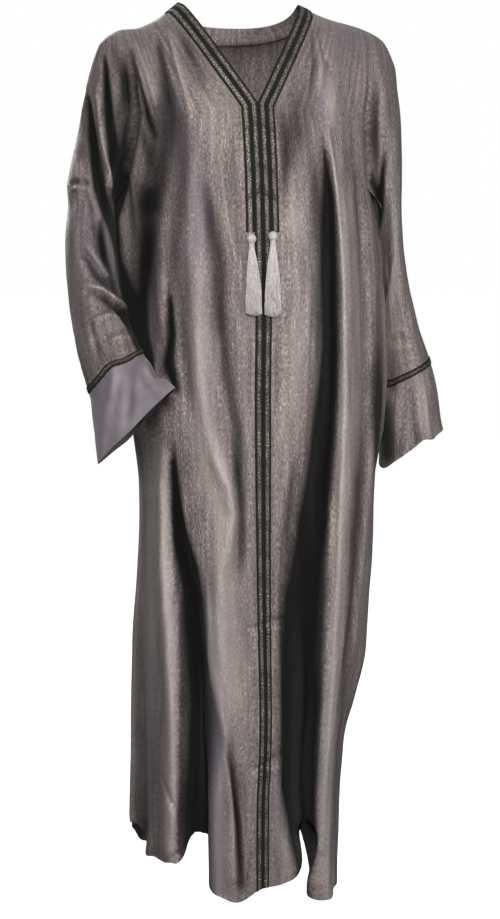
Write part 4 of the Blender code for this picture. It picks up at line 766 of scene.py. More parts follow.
# Painted shade and painted highlight: where the cloth's colour is made darker or lighter than its own rise
# makes it, in the same columns.
BODY_PAINTED_SHADE_AND_LIGHT = folds(
    # shade in the fold between arm and body
    ((103, 56, 2, 2, -3), (106, 90, 3, 3, -10), (110, 130, 3.5, 3.5, -18), (114, 175, 3.5, 3.2, -20),
     (117, 215, 3.5, 3.2, -21), (121, 260, 4, 4, -21), (129, 305, 5, 5, -20), (139, 338, 6, 6, -18),
     (149, 365, 5, 5, -6)),
    # shade of the deep valley
    ((171, 462, 3, 3, -4), (175, 510, 4, 4, -8), (181, 545, 5, 7, -8), (191, 585, 8, 8, -8),
     (194, 640, 10, 6, -6), (194, 700, 11, 6, -6), (194, 777, 11, 6, -7), (194, 835, 11, 6, -7.5),
     (194, 870, 11, 6, -7.5)),
    # shade of the other deep valley
    ((325, 150, 2, 2, -3), (327, 190, 4.5, 2, -7), (328, 230, 6, 2.2, -9), (328, 270, 6, 2.6, -11),
     (329, 310, 5.5, 3, -13), (330, 345, 5, 3.6, -15), (326, 385, 5, 4.5, -17), (322, 430, 7, 5.5, -15),
     (316, 480, 8, 8, -13), (310, 520, 10, 9, -13), (306, 570, 13, 9, -15), (301, 610, 16, 10, -16),
     (297, 650, 16, 11, -20), (295, 700, 15, 12, -22), (295, 760, 13, 11, -22), (298, 800, 12, 9, -22),
     (300, 840, 9, 7, -20), (301, 880, 6, 6, -16)),
    # painted shade on the chest
    ((158, 70, 7, 6, -1), (161, 100, 13, 10, -3.6), (160, 122, 15, 12, -4), (156, 146, 14, 12, -4.6),
     (153, 175, 12, 11, -5), (150, 205, 11, 10, -4.6)),
    # shade down from it
    ((146, 195, 11, 9, -3), (144, 230, 11, 9, -4), (141, 270, 11, 8, -4.6), (140, 305, 10, 7, -5),
     (143, 340, 7, 6, -4.6), (149, 368, 6, 5, -3), (150, 385, 5, 5, 0)),
    # shade at the waist
    ((170, 300, 3, 3, -3), (171, 335, 3.5, 4, -8), (168, 362, 5, 6, -9), (176, 388, 5, 5, -5)),
    # shade beside the placket
    ((290, 88, 6, 12, -1.6), (297, 112, 12, 16, -3.2), (292, 132, 13, 18, -4.2), (288, 152, 10, 12, -4),
     (285, 175, 7, 7, -3.6), (283, 200, 5, 5, -3), (281, 225, 4, 4, -1), (280, 240, 4, 4, 0)),
    # shade beside the lower placket
    ((279, 530, 4, 4, -3), (279, 560, 5, 6, -9), (279, 590, 5, 7, -14), (279, 620, 5, 8, -20),
     (279, 660, 5, 9, -26), (279, 710, 5, 9, -28), (279, 750, 5, 9, -24), (281, 775, 5, 8, -14),
     (287, 795, 5, 7, -8), (291, 815, 4, 5, -2)),
    # light over the chest
    ((208, 88, 8, 8, 1), (216, 112, 14, 13, 2.5), (216, 140, 14, 12, 2), (214, 165, 12, 12, 0.5),
     (212, 190, 10, 10, 0)),
    # light on the panel
    ((292, 180, 8, 9, 1), (296, 220, 10, 9, 3), (300, 250, 9, 8, 0), (302, 300, 8, 6, -0.5),
     (298, 350, 12, 9, 1.5), (290, 400, 11, 12, 2), (286, 440, 9, 10, 2.5), (280, 480, 6, 6, 4),
     (277, 520, 4, 4, 1), (277, 545, 3, 3, 0)),
    # light down the middle of that half
    ((200, 250, 7, 7, 0), (199, 300, 7, 6, 1.0), (198, 345, 7, 6, 2.5), (198, 380, 6, 5, 7),
     (204, 425, 8, 8, 6), (215, 480, 12, 10, 9), (226, 520, 9, 8, 9), (223, 560, 10, 8, 7),
     (226, 620, 10, 11, 5), (236, 690, 12, 12, 4), (240, 735, 10, 10, 1)),
    # light at the lobe
    ((163, 450, 6, 4, 3), (164, 490, 8, 4, 9), (161, 530, 10, 7, 8), (161, 570, 11, 7, 8),
     (163, 610, 11, 6, 8), (167, 660, 8, 5, 7), (171, 720, 8, 4, 7), (172, 790, 7, 4, 6),
     (171, 840, 6, 4, 3)),
    # light on the tube
    ((342, 190, 2, 3, 2), (345, 300, 3, 4, 0.6), (342, 420, 3, 3, 1), (339, 520, 3, 4, 6),
     (338, 600, 3, 4, 6), (334, 650, 4, 4, 7), (331, 710, 4, 3.5, 8), (327, 770, 4, 4, 7),
     (325, 830, 4, 3.5, 6), (321, 880, 4, 3.5, 5)),
    # shade at the body's edge by the left sleeve
    ((378, 240, 3, 3, -1.5), (378, 300, 3, 4, -2.4), (378, 340, 5, 5, -4.4), (376, 370, 6, 7, -9),
     (377, 410, 6, 8, -14), (378, 445, 6, 8, -14), (378, 472, 5, 6, -7), (376, 500, 3, 4, 0)),
    # shade under the arm on the body
    ((118, 190, 3, 3, -8), (120, 225, 3, 3, -18), (123, 262, 3.5, 3.5, -20), (127, 290, 4, 4, -20),
     (134, 320, 4.5, 4.5, -18), (141, 342, 5, 5, -16), (147, 360, 5, 5, -10), (151, 378, 4, 4, -4),
     (152, 392, 4, 4, 0)),
    # painted shade by the right half of the placket
    ((198, 128, 6, 5, -0.6), (205, 160, 8, 7, -1.6), (208, 200, 8, 8, -2), (212, 245, 7, 8, -2.4),
     (214, 290, 7, 7, -2.2), (218, 330, 6, 6, -1)),
    # painted shade on the front of the shoulder
    ((112, 50, 4, 6, -1.5), (118, 60, 6, 8, -2.6), (123, 78, 7, 8, -3.8), (123, 96, 8, 8, -4.2),
     (120, 116, 8, 8, -4), (121, 136, 8, 8, -3.4), (127, 160, 8, 8, -3), (131, 182, 6, 6, -1)),
    # painted shade at the end of the chest's pleats
    ((141, 122, 4, 4, -1), (144, 138, 5, 4, -3), (148, 156, 5, 5, -2), (150, 172, 4, 4, 0)),
    # painted shade on the side of the chest
    ((181, 88, 5, 8, -1), (184, 106, 6, 9, -2.2), (186, 130, 9, 10, -3.6), (184, 160, 10, 12, -4.2),
     (182, 190, 11, 14, -4.2), (179, 220, 11, 14, -3.8), (175, 258, 10, 12, -3.4), (169, 298, 7, 9, -3),
     (165, 328, 5, 6, -2), (164, 350, 4, 4, 0)),
    # painted shade beside the right V
    ((178, 28, 3, 4, -1.5), (184, 40, 4, 6, -4), (190, 52, 6, 7, -4.6), (198, 68, 8, 7, -2.6),
     (205, 86, 9, 8, -1.6), (212, 102, 8, 8, 0)),
    # painted shade inside the placket
    ((222, 120, 10, 12, -0.6), (226, 150, 14, 12, -1.4), (232, 180, 12, 10, -2.2), (236, 210, 9, 8, -2.4),
     (238, 245, 8, 7, -2.2), (240, 290, 6, 6, -1.6), (240, 320, 6, 6, -0.6)),
    # painted shade on a strip of the light panel
    ((290, 244, 6, 9, -0.8), (298, 270, 9, 8, -1.4), (298, 300, 8, 8, -1.8), (298, 325, 8, 8, -0.8),
     (298, 340, 7, 7, 0)),
    # light on the left shoulder
    ((324, 42, 9, 12, 1.2), (330, 62, 10, 10, 2), (330, 88, 8, 7, 2.4), (330, 108, 7, 7, 2),
     (330, 124, 5, 5, 0)),
    # painted shade on the outer shoulder
    ((350, 84, 6, 8, -0.6), (352, 104, 8, 8, -0.8), (348, 128, 8, 10, -1), (350, 150, 8, 8, -0.8),
     (352, 166, 6, 6, 0)),
    # light on the outer lobe
    ((142, 490, 6, 8, 2.4), (144, 520, 8, 8, 3.4), (144, 560, 9, 8, 3.6), (144, 600, 9, 8, 3.4),
     (144, 650, 9, 9, 3), (142, 700, 9, 9, 2), (140, 760, 8, 6, 1), (138, 800, 5, 5, 0)),
    # painted shade on the inner edge of the outer lobe
    ((172, 470, 2, 3, -2), (176, 580, 3, 3, -1.5), (180, 610, 3, 5, -2.5), (181, 650, 4, 6, -3.5),
     (181, 700, 4, 6, -4.4), (180, 740, 4, 6, -4.4), (179, 780, 4, 7, -5.6), (178, 820, 4, 7, -6.6),
     (178, 850, 4, 6, -6)),
    # painted shade in the hollow by the waist
    ((233, 440, 3, 4, -1), (238, 470, 5, 4, -3.5), (241, 500, 5, 5, -3), (242, 540, 5, 4, -2),
     (240, 575, 4, 4, 0)),
    # painted highlight on the placket's edge, right half
    ((250, 440, 3, 3, 0.5), (252, 480, 4, 2, 3), (253, 520, 3, 2, 2.4), (252, 560, 4, 2, 3.4),
     (250, 600, 5, 3, 4.5), (249, 640, 5, 4, 4.5), (250, 700, 5, 4, 3.4), (250, 740, 4, 4, 1),
     (250, 775, 3, 3, 1), (251, 800, 3, 3, 3), (252, 838, 2.5, 2.5, 3.4), (253, 862, 2, 2, 0)),
    # painted highlight on the placket's edge, left half
    ((275, 430, 3, 4, 0.6), (274, 480, 3, 4, 3.4), (273, 520, 2, 2.4, 5), (272, 560, 2, 2, 4.4),
     (272, 600, 2, 2, 3.6), (272, 640, 1.8, 1.8, 3), (272, 700, 1.8, 1.8, 2), (272, 745, 1.6, 1.6, 0)),
    # painted highlight at the foot of the left half
    ((272, 786, 2.5, 3, 1), (275, 808, 3.5, 4, 3), (279, 832, 5, 5, 4), (284, 852, 6, 6, 5),
     (287, 868, 6, 6, 5.4), (282, 882, 7, 6, 3.6)),
    # painted shade on the flat strip
    ((209, 560, 3, 5, -0.6), (215, 620, 4, 6, -2), (219, 680, 5, 6, -2.8), (222, 740, 7, 7, -3),
     (224, 780, 8, 6, -2.8), (223, 860, 9, 6, -2.8), (224, 895, 9, 6, -2.8)),
    # painted shade in the crumples by the strip
    ((228, 738, 2, 3, -1), (232, 765, 4, 5, -4.4), (236, 795, 5, 5, -5), (238, 825, 4, 5, -5.4),
     (239, 855, 4, 5, -6), (241, 885, 4, 5, -5)),
    # painted shade in the crumple nearer the placket
    ((244, 812, 2, 2, -1), (246, 835, 2.5, 3, -4), (248, 858, 3, 3, -4.4), (249, 884, 3, 3, -4)),
    # painted shade on a strip of the tube
    ((322, 480, 3, 4, -1), (326, 520, 4, 5, -3), (326, 560, 5, 6, -4), (324, 600, 6, 6, -5),
     (321, 640, 7, 6, -6), (319, 700, 7, 6, -6), (316, 760, 6, 5, -6), (313, 820, 4, 4, -5),
     (311, 870, 4, 3, -5)),
    # painted shade on the outer side of the tube
    ((356, 480, 7, 8, -2), (354, 530, 7, 8, -3.4), (351, 580, 6, 8, -4), (348, 630, 5, 7, -4),
     (343, 690, 4, 7, -3.4), (338, 740, 3, 5, -2.6), (335, 790, 2.5, 4, -4.4), (333, 840, 2.5, 4, -6),
     (332, 885, 2.5, 4, -6)),
    # light on the outer edge of the tube
    ((366, 560, 3, 4, 1), (362, 620, 3, 4, 1.6), (356, 680, 3, 4, 1), (350, 705, 3, 3, 0)),
    # painted shade on the side of the ridge beside the wedge
    ((349, 270, 3, 5, -0.6), (349, 310, 3, 5, -1.2), (348, 360, 3, 4, -1.8), (347, 410, 3, 4, -2.4),
     (347, 450, 3, 4, -1), (347, 470, 3, 4, 0)),
    # sharp light on the ridge beside the wedge
    ((341, 360, 2, 2, 1), (341, 385, 2, 2, 3), (340, 430, 2, 3, 4), (339, 470, 2, 3, 3)),
    # painted shade down the middle of the right half
    ((204, 186, 7, 7, -0.6), (205, 215, 9, 8, -2.4), (203, 250, 9, 7, -4.4), (201, 290, 8, 7, -3.4),
     (199, 325, 6, 6, -1.6), (198, 345, 6, 6, 0)),
    # painted shade along the placket's outer edge
    ((278, 102, 3, 4, -2), (280, 116, 4, 6, -4.6), (281, 135, 4, 6, -5), (281, 160, 4, 6, -5),
     (280, 190, 3.5, 5, -4), (279, 215, 3, 4, -2.6), (278, 232, 2, 3, 0)),
    # painted shade along the darkest line of the deep valley
    ((198, 600, 2, 3, -1), (200, 625, 3, 3, -6), (203, 660, 3, 3, -9), (204, 700, 3, 3, -9),
     (205, 735, 2.5, 2.5, -5), (205, 760, 2, 2, 0)),
    # light on the skirt's outer side
    ((140, 560, 4, 5, 1.5), (142, 610, 5, 6, 3), (143, 660, 5, 6, 3), (144, 710, 5, 6, 3.4),
     (145, 760, 5, 5, 3.4), (145, 815, 5, 5, 3.4)),
    # light on the left side of the body
    ((354, 190, 5, 8, 1.2), (358, 230, 7, 10, 2.6), (361, 280, 8, 12, 3.6), (362, 340, 8, 12, 3.8),
     (361, 400, 8, 10, 3.4), (357, 450, 6, 8, 1.6), (354, 480, 5, 6, 0)),
    # painted shade in the body's corner under the left arm
    ((370, 174, 2, 3, -1.5), (373, 186, 3, 3, -4), (377, 199, 3, 3, -5), (380, 214, 2, 2, 0)),
    # painted shade in the body's corner under the right arm
    ((127, 170, 3, 3, -3), (125, 183, 4, 4, -9), (121, 196, 4, 4, -9), (119, 208, 3, 3, 0)),
)
# Painted shade and painted highlight on the sleeves and cuffs, in the same columns.
ARM_PAINTED_SHADE_AND_LIGHT = folds(
    # shade on the upper arm's fold
    ((87, 98, 2.5, 2.5, -4), (91, 130, 4, 3.5, -12), (95, 160, 5, 5, -14), (100, 188, 5, 5, -16),
     (107, 213, 4, 5, -16), (113, 234, 3, 4, -14), (118, 255, 3, 4, -12), (122, 285, 3, 4, -10),
     (128, 308, 4, 5, -10), (135, 335, 5, 5, -14), (144, 352, 4, 4, -14)),
    # light on the sleeve's foot
    ((90, 345, 4, 6, 2), (104, 330, 6, 8, 3), (120, 322, 8, 5, 3)),
    # shade in the underarm notch
    ((385, 155, 2, 2, -2), (383, 170, 3, 3, -5), (381, 195, 3.5, 3, -8), (380, 220, 2.5, 3, -6),
     (379, 236, 1.5, 2, -2)),
    # shade at the left sleeve's inner edge
    ((381, 330, 2, 2, -1), (379, 350, 2, 3, -3), (380, 366, 3, 4, -8), (382, 400, 3, 5, -9),
     (384, 430, 3, 6, -7), (385, 455, 3, 5, -5)),
    # shade in the fold between arm and body
    ((103, 56, 2, 2, -3), (106, 90, 3, 3, -10), (110, 130, 3.5, 4, -16), (115, 175, 3, 6, -20),
     (119, 215, 3.2, 7, -22), (124, 255, 3.6, 8, -22), (131, 300, 4.5, 8, -18), (143, 340, 4, 8, -10),
     (156, 372, 3, 6, -6)),
    # painted shade on the front of the arm
    ((100, 92, 3, 3, -1.4), (101, 112, 3, 4, -3.6), (102, 138, 3, 3, -3.6), (106, 165, 3, 3, -2.6),
     (110, 185, 3, 3, 0)),
    # light on the left sleeve
    ((398, 180, 3, 4, 1.5), (400, 215, 4, 4, 1), (402, 250, 4, 5, 2.6), (398, 280, 6, 7, 2.4),
     (396, 305, 8, 9, 3), (396, 335, 8, 9, 3.4), (402, 356, 9, 9, 2)),
    # painted shade on the face of the right cuff
    ((114, 372, 8, 8, -0.6), (114, 395, 10, 10, -1.6), (114, 420, 10, 10, -2), (118, 436, 10, 10, -1.6),
     (112, 455, 8, 8, 0)),
    # painted highlight on the outer half of the left cuff
    ((414, 372, 8, 10, 1.6), (420, 395, 8, 10, 2), (424, 420, 8, 10, 1.6), (422, 440, 6, 8, 0)),
    # painted shade on the front of the shoulder, on the arm
    ((112, 50, 4, 6, -1.5), (118, 60, 6, 8, -2.6), (123, 78, 7, 8, -3.8), (123, 96, 8, 8, -4.2),
     (120, 116, 8, 8, -4), (121, 136, 8, 8, -3.4), (127, 160, 8, 8, -3), (131, 182, 6, 6, -1)),
    # painted shade on the inner side of the right arm
    ((100, 222, 3, 4, -4), (101, 238, 3.5, 4, -8), (104, 256, 4, 4, -7), (109, 275, 4, 4, -5),
     (116, 297, 4, 4, -6), (127, 318, 4, 5, -8), (135, 335, 5, 6, -9), (146, 352, 5, 4, -9)),
    # painted shade on the lower half of the right sleeve
    ((94, 228, 5, 5, -2), (97, 248, 7, 7, -3.4), (101, 268, 8, 8, -3), (106, 290, 8, 8, -2.6),
     (108, 315, 10, 9, -2.2), (110, 335, 10, 9, -1.2), (112, 345, 8, 8, 0)),
    # light along the right sleeve's outer side
    ((74, 225, 3, 4, 1), (74, 250, 4, 5, 3), (72, 285, 4, 5, 3), (75, 325, 4, 5, 3), (80, 350, 4, 4, 1)),
    # painted shade in the corner under the left arm
    ((372, 176, 2, 3, -2), (375, 188, 3, 4, -3.4), (378, 202, 3, 4, -4), (381, 218, 3, 3, -3.4),
     (381, 230, 2, 2, 0)),
    # painted shade in the corner under the right arm
    ((127, 174, 3, 3, -3), (125, 186, 4, 4, -9), (121, 198, 4, 4, -10), (118, 214, 3, 4, -8),
     (119, 230, 3, 3, 0)),
    # painted shade on the inner half of the left cuff
    ((391, 392, 5, 6, -1), (393, 415, 7, 7, -3), (394, 435, 8, 8, -5), (394, 455, 8, 7, -6)),
)
# Where the smooth mauve side of the cloth's weave shows; the last column is how strongly, from 0 to 1.
SHARE_STEPS = 10000
SATIN_PATCHES = folds(
    # flat strip of the middle lobe
    ((206, 560, 3, 5, 0), (210, 600, 5, 6, 0.5), (214, 640, 5, 7, 0.9), (217, 700, 6, 7, 1),
     (219, 760, 7, 7, 1), (220, 820, 9, 8, 1), (220, 895, 10, 9, 1)),
    # patch on the chest
    ((168, 70, 6, 6, 0), (172, 105, 12, 10, 0.6), (178, 140, 14, 12, 0.6), (192, 175, 14, 13, 0.6),
     (206, 215, 11, 11, 0.6), (208, 260, 10, 9, 0.4), (205, 300, 8, 8, 0)),
    # patch on the left shoulder
    ((322, 62, 8, 8, 0), (322, 90, 12, 10, 0.6), (320, 120, 10, 10, 0.5), (318, 150, 6, 6, 0)),
    # patch at the waist
    ((150, 250, 9, 9, 0), (148, 300, 10, 9, 0.5), (148, 345, 9, 9, 0.5), (152, 380, 8, 8, 0)),
    # strip down the lobe's inner side
    ((190, 560, 6, 6, 0), (196, 620, 7, 7, 0.6), (197, 700, 8, 8, 0.6), (197, 780, 8, 8, 0.6),
     (197, 850, 8, 8, 0.6)),
    # patch beside the lower placket
    ((222, 430, 6, 6, 0), (226, 470, 7, 6, 0.4), (226, 520, 6, 6, 0.4), (222, 560, 5, 5, 0)),
    rise_steps=SHARE_STEPS,
)
# Small pulls on the cloth in the same frame, all in pixels: right, down, reach across, reach in height, and
# the move right and down.
PULL_ROWS = (
    (404, 215, 16, 45, -4.0, 0), (412, 275, 18, 50, -7.5, 0), (426, 335, 18, 35, -4.6, 0),
    (430, 370, 20, 35, -2.5, 0), (444, 425, 18, 35, -5.4, 0), (425, 453, 14, 15, 0, -11.0),
    (408, 463, 12, 12, 0, -5.0), (443, 437, 8, 10, 0, -4.0), (383, 465, 7, 8, 0, 4.0),
    (388, 383, 11, 12, 0, 4.0), (159, 370, 10, 9, -1.0, 6.0), (108, 369, 14, 12, -1.0, -5.0),
    (66, 310, 14, 50, 2.0, 0), (134, 530, 14, 90, 4.8, 0), (129, 680, 12, 70, 2.0, 0),
    (129, 770, 12, 50, 1.2, 0), (368, 590, 14, 30, -1.5, 0), (362, 655, 12, 30, 2.0, 0),
    (352, 715, 14, 40, -3.0, 0), (343, 790, 12, 50, -3.2, 0), (300, 858, 13, 42, 5.5, 0),
    (311, 882, 7, 20, -6.0, 0), (305, 844, 5, 9, 4.0, 0), (300, 880, 9, 16, 0, 3.5),
    (303, 838, 9, 12, 0, -13.0), (337, 852, 6, 34, -2.0, 0), (299, 842, 6, 10, -6.0, 0),
    (298, 878, 8, 18, 5.0, 0), (308, 843, 6, 11, 4.0, 0), (211, 730, 8, 70, -6.0, 0),
    (130, 830, 7, 11, 2.0, -1.0), (142, 843, 6, 8, -2.0, 4.0), (131, 830, 6, 7, 0, -4.0),
    (146, 848, 7, 14, -4.0, 10.0), (166, 868, 9, 8, 2.0, -4.5), (181, 855, 8, 10, 0.5, 2.0),
    (192, 846, 6, 10, -2.5, 0), (196, 843, 9, 12, 0, -11.0), (224, 900, 14, 12, 0, -5.0),
    (262, 890, 14, 12, 0, -3.5), (330, 899, 10, 12, 0, -2.5), (337, 896, 5, 8, -3.0, -4.0),
)


def pulls(rows):
    right, down, wide, high, to_right, to_down = np.array(rows, float).T
    sizes = (wide * PIXEL_TENTHS, high * PIXEL_TENTHS, to_right * PIXEL_TENTHS, -to_down * PIXEL_TENTHS)
    tenths = np.round(np.stack([*picture_place(right, down), *sizes], axis=1))
    return tenths * TENTH


PULLS = pulls(PULL_ROWS)


def smooth(knots, values, at):
    """Reads values(knots) at a place along a curve that keeps to the table's rises and falls."""
    knots = np.asarray(knots, float)
    values = np.asarray(values, float)
    if knots[0] > knots[-1]:
        knots = knots[::-1]
        values = values[::-1]
    at = np.clip(at, knots[0], knots[-1])
    step = np.diff(knots)
    grade = np.diff(values) / step
    slope = np.concatenate([grade[:1], np.zeros(len(step) - 1), grade[-1:]])
    same_way = grade[:-1] * grade[1:] > 0
    total = np.where(same_way, grade[:-1] + grade[1:], 1.0)
    slope[1:-1] = np.where(same_way, 2 * grade[:-1] * grade[1:] / total, 0.0)
    row = np.clip(np.searchsorted(knots, at, side="right") - 1, 0, len(step) - 1)
    part = (at - knots[row]) / step[row]
    rest = 1 - part
    return (
        values[row] * rest * rest * (1 + 2 * part)
        + values[row + 1] * part * part * (1 + 2 * rest)
        + step[row] * part * rest * (slope[row] * rest - slope[row + 1] * part)
    )


def ease(part):
    part = np.clip(part, 0.0, 1.0)
    return part * part * (3 - 2 * part)


def powered(value, power):
    return np.sign(value) * np.abs(value) ** power


def body_point(angle, height):
    """A point of the hanging body before its folds."""
    turn = np.radians(angle)
    across = np.where(
        np.sin(turn) < 0,
        smooth(BODY["height"], BODY["right"], height),
        smooth(BODY["height"], BODY["left"], height),
    )
    deep = np.where(
        np.cos(turn) > 0,
        smooth(BODY["height"], BODY["front"], height),
        smooth(BODY["height"], BODY["back"], height),
    )
    power = 2 / SQUARENESS
    x = across * powered(np.sin(turn), power)
    y = -deep * powered(np.cos(turn), power)
    return np.stack(np.broadcast_arrays(x, y, height), -1)


def angle_at(across, height, side):
    """The girth angle on the front at a distance across from the centre front."""
    half = smooth(BODY["height"], BODY[side], height)
    return SIDES[side] * np.degrees(np.arcsin((across / half) ** (SQUARENESS / 2)))


def crease_moves(angle, height):
    """How far all the folds together move a point out of the cloth, and along the girth."""
    rise = np.zeros(np.broadcast(angle, height).shape)
    slide = np.zeros_like(rise)
    for crease in CREASES:
        keys = crease["height"]
        away = angle - smooth(keys, crease["angle"], height)
        away = (away + 180) % 360 - 180
        share = np.exp(-((away / smooth(keys, crease["width"], height)) ** 2))
        reach = (height <= keys[0]) & (height >= keys[-1])
        one = np.where(reach, smooth(keys, crease["rise"], height) * share, 0.0)
        rise += one
        slide += one * smooth(keys, crease["slide"], height)
    return rise, slide


def hem_height(angle):
    wrapped = (np.asarray(angle, float) + 180) % 360 - 180
    return smooth(HEM_LINE["angle"], HEM_LINE["height"], wrapped)


def eased_height(nominal, angle):
    """A row's height: level at the waist, and following the hem's own line lower down."""
    share = ease((HEM_EASE_START - nominal) / (HEM_EASE_START - HEM))
    return nominal + (hem_height(angle) - HEM) * share


def shoulder_point(side, across):
    height = smooth(SHOULDER[side]["across"], SHOULDER[side]["height"], across)
    return np.array([SIDES[side] * across, 0.0, float(height)])


def outer_point(side, fraction):
    """A point of the upper arm's outer side, from the armhole (0) to the shoulder tip (1)."""
    line = OUTER_ARM[side]
    height = ARMHOLE + fraction * (line["height"][0] - ARMHOLE)
    across = smooth(line["height"], line["across"], height)
    depth = ARM_CENTRE[side][1] * (1 - fraction)
    return np.array([SIDES[side] * float(across), depth, height])


def arm_arc(side, facing):
    """The armhole seam from the underarm to the outer side: facing is -1 in front, 1 behind."""
    angle = UNDERARM_ANGLE if facing < 0 else 180 - UNDERARM_ANGLE
    start = body_point(SIDES[side] * angle, ARMHOLE)
    across, depth = ARM_CENTRE[side]
    first = math.radians(ARM_START_ANGLE)
    share = np.arange(1, ARM_STEPS * ARM_FINE + 1) / (ARM_STEPS * ARM_FINE)
    turns = first + share * (math.pi - first)

    def on_arm(turn):
        x = SIDES[side] * (across - ARM_HALF_WIDTH * np.cos(turn))
        y = depth + facing * ARM_HALF_DEPTH * np.sin(turn)
        return np.stack(np.broadcast_arrays(x, y, ARMHOLE), axis=-1)

    points = on_arm(turns) + (start - on_arm(first)) * ((1 - share) ** 2)[:, None]
    return points + (outer_point(side, 0.0) - points[-1]) * (share**3)[:, None]


def shoulder_tops(side):
    """Places across the shoulder's top, shared by front and back: the braid edges, two more, the bone."""
    start = NECK_POINT[0]
    inner = [start + row * BRAID_ON_SHOULDER for row in (0, 1, 2)]
    left = SHOULDER_BONE[side] - inner[-1]
    return inner + [inner[-1] + left * share for share in SHOULDER_SPLITS]


def neck_edge(fraction):
    """The front edge (across, depth, height) from the armhole's level up the V to the neck point."""
    depth = -BODY["front"][0] * float(smooth(CHEST["level"], CHEST["share"], fraction))
    if fraction <= V_FRACTION:
        share = fraction / V_FRACTION
        return np.array([0.0, depth, ARMHOLE + share * (V_POINT[1] - ARMHOLE)])
    share = (fraction - V_FRACTION) / (1 - V_FRACTION)
    rise = NECK_POINT[1] - V_POINT[1]
    return np.array([NECK_POINT[0] * share, depth, V_POINT[1] + rise * share])


def edge_side(fraction):
    """Which way (across, height) a step of 1 from the front edge into the cloth goes."""
    rise = NECK_POINT[1] - V_POINT[1]
    length = math.hypot(NECK_POINT[0], rise)
    slant = np.array([rise / length, -NECK_POINT[0] / length])
    if fraction < V_FRACTION - 1e-6:
        return np.array([1.0, 0.0])
    if fraction > V_FRACTION + 1e-6:
        return slant
    middle = slant + np.array([1.0, 0.0])
    middle /= np.linalg.norm(middle)
    return middle / middle[0]


def fill(bottom, top, near, far, across, depths):
    """A patch between four edges, with the share of the bottom's depth that each row keeps."""
    rows = FRACTIONS[:, None, None]
    columns = np.asarray(across)[None, :, None]
    level = rows * np.ones_like(columns)
    kept = np.asarray(depths)[:, None, None] * np.ones_like(columns)
    up = np.concatenate([level, 1 - kept, level], axis=2)
    plain = bottom[None] * (1 - up) + top[None] * up
    near_gap = near[:, None] - plain[:, :1]
    far_gap = far[:, None] - plain[:, -1:]
    return plain + near_gap * (1 - columns) + far_gap * columns


def travelled(points):
    """How far along a row of points each of them is."""
    steps = np.linalg.norm(np.diff(points, axis=0), axis=1)
    return np.concatenate([[0.0], np.cumsum(steps)])


def girth_shares(points):
    along = travelled(points)
    return along / along[-1]


def soften_underarm(patch, shares, underarm_shares, width, depth_there):
    """Fades the valley between arm and body as it rises to the shoulder, edges left in place."""
    rows = FRACTIONS[:, None]
    rising = ease(rows / VALLEY_RISE) * np.sqrt(1 - rows**2)
    for underarm in underarm_shares:
        near = np.exp(-(((shares[None] - underarm) / width) ** 2))
        near[:, [0, -1]] = 0.0
        patch[:, :, 1] += depth_there * rising * near


# How finely the cloth is divided: degrees between columns, divisions of an arm step and of a yoke row.
COLUMN_DEGREES = 0.8
ARM_FINE = 8
YOKE_FINE = 9
SKIRT_ROWS = 324
SLEEVE_ROW = 0.0036
BRAID_COLUMNS = (0.0, 0.5, 1.0, 1.5, 2.0)
FIRST_FREE_ANGLE = 7.0

# The camera, which stands a little to the wearer's right and looks slightly down.
CAMERA_TURN = math.radians(14.0)
CAMERA_PITCH = math.radians(6.4869)
CAMERA_PLACE = np.array([-0.80475977, -3.30343719, -0.31])
CAMERA_LENS = 82.215
SENSOR = 36.0


def angle_steps(start, end):
    """Angles from start to end, ends included, at the cloth's column spacing."""
    count = max(1, round(abs(end - start) / COLUMN_DEGREES))
    return np.linspace(start, end, count + 1)


def fine_fractions():
    """The yoke's rows, as levels between the armholes (0) and the shoulder (1)."""
    rows = np.arange(len(YOKE_FRACTIONS))
    fine = np.linspace(0, rows[-1], rows[-1] * YOKE_FINE + 1)
    return smooth(rows, YOKE_FRACTIONS, fine)


FRACTIONS = fine_fractions()
NOMINAL_HEIGHTS = np.linspace(ARMHOLE, HEM, SKIRT_ROWS + 1)


def grid_quads(index):
    """Quads between neighbouring rows and columns of point numbers."""
    corners = (index[:-1, :-1], index[:-1, 1:], index[1:, 1:], index[1:, :-1])
    return np.stack([corner.ravel() for corner in corners], axis=1)


class Cloth:
    """Points of one piece of cloth, with its quads and what the folds need to know of each point."""

    def __init__(self, name):
        self.name = name
        self.points = np.zeros((0, 3))
        self.threads = np.zeros((0, 2))
        self.facts = np.zeros((0, 4))
        self.quads = np.zeros((0, 4), int)

    def add(self, points, labels, windows, body=1.0, arm=0.0):
        """Adds a grid of points. body and arm say how far each follows the folds of either."""
        shape = points.shape[:2]
        first = len(self.points)
        facts = [np.broadcast_to(fact, shape).ravel() for fact in (labels, windows, body, arm)]
        self.points = np.concatenate([self.points, points.reshape(-1, 3)])
        self.facts = np.concatenate([self.facts, np.stack(facts, axis=1)])
        self.threads = np.concatenate([self.threads, np.zeros((points[..., 0].size, 2))])
        return np.arange(first, first + shape[0] * shape[1]).reshape(shape)

    def join(self, index, flip=False):
        quads = grid_quads(index)
        self.quads = np.concatenate([self.quads, quads[:, ::-1] if flip else quads])

    def measure(self, index, across, start=0.0, way=1.0):
        """Lays the threads' lengths on a grid: across as given, down each column, or up where way is -1."""
        down = np.linalg.norm(np.diff(self.points[index], axis=0), axis=2)
        lengths = np.concatenate([np.zeros((1, index.shape[1])), np.cumsum(down, axis=0)])
        self.threads[index, 0] = across
        self.threads[index, 1] = start + way * lengths


def fade_from_braid(bottom):
    """How far the folds reach each column of the front, none under the braid."""
    return ease((np.abs(bottom[:, 0]) - BRAID_ROW) / BRAID_FADE)


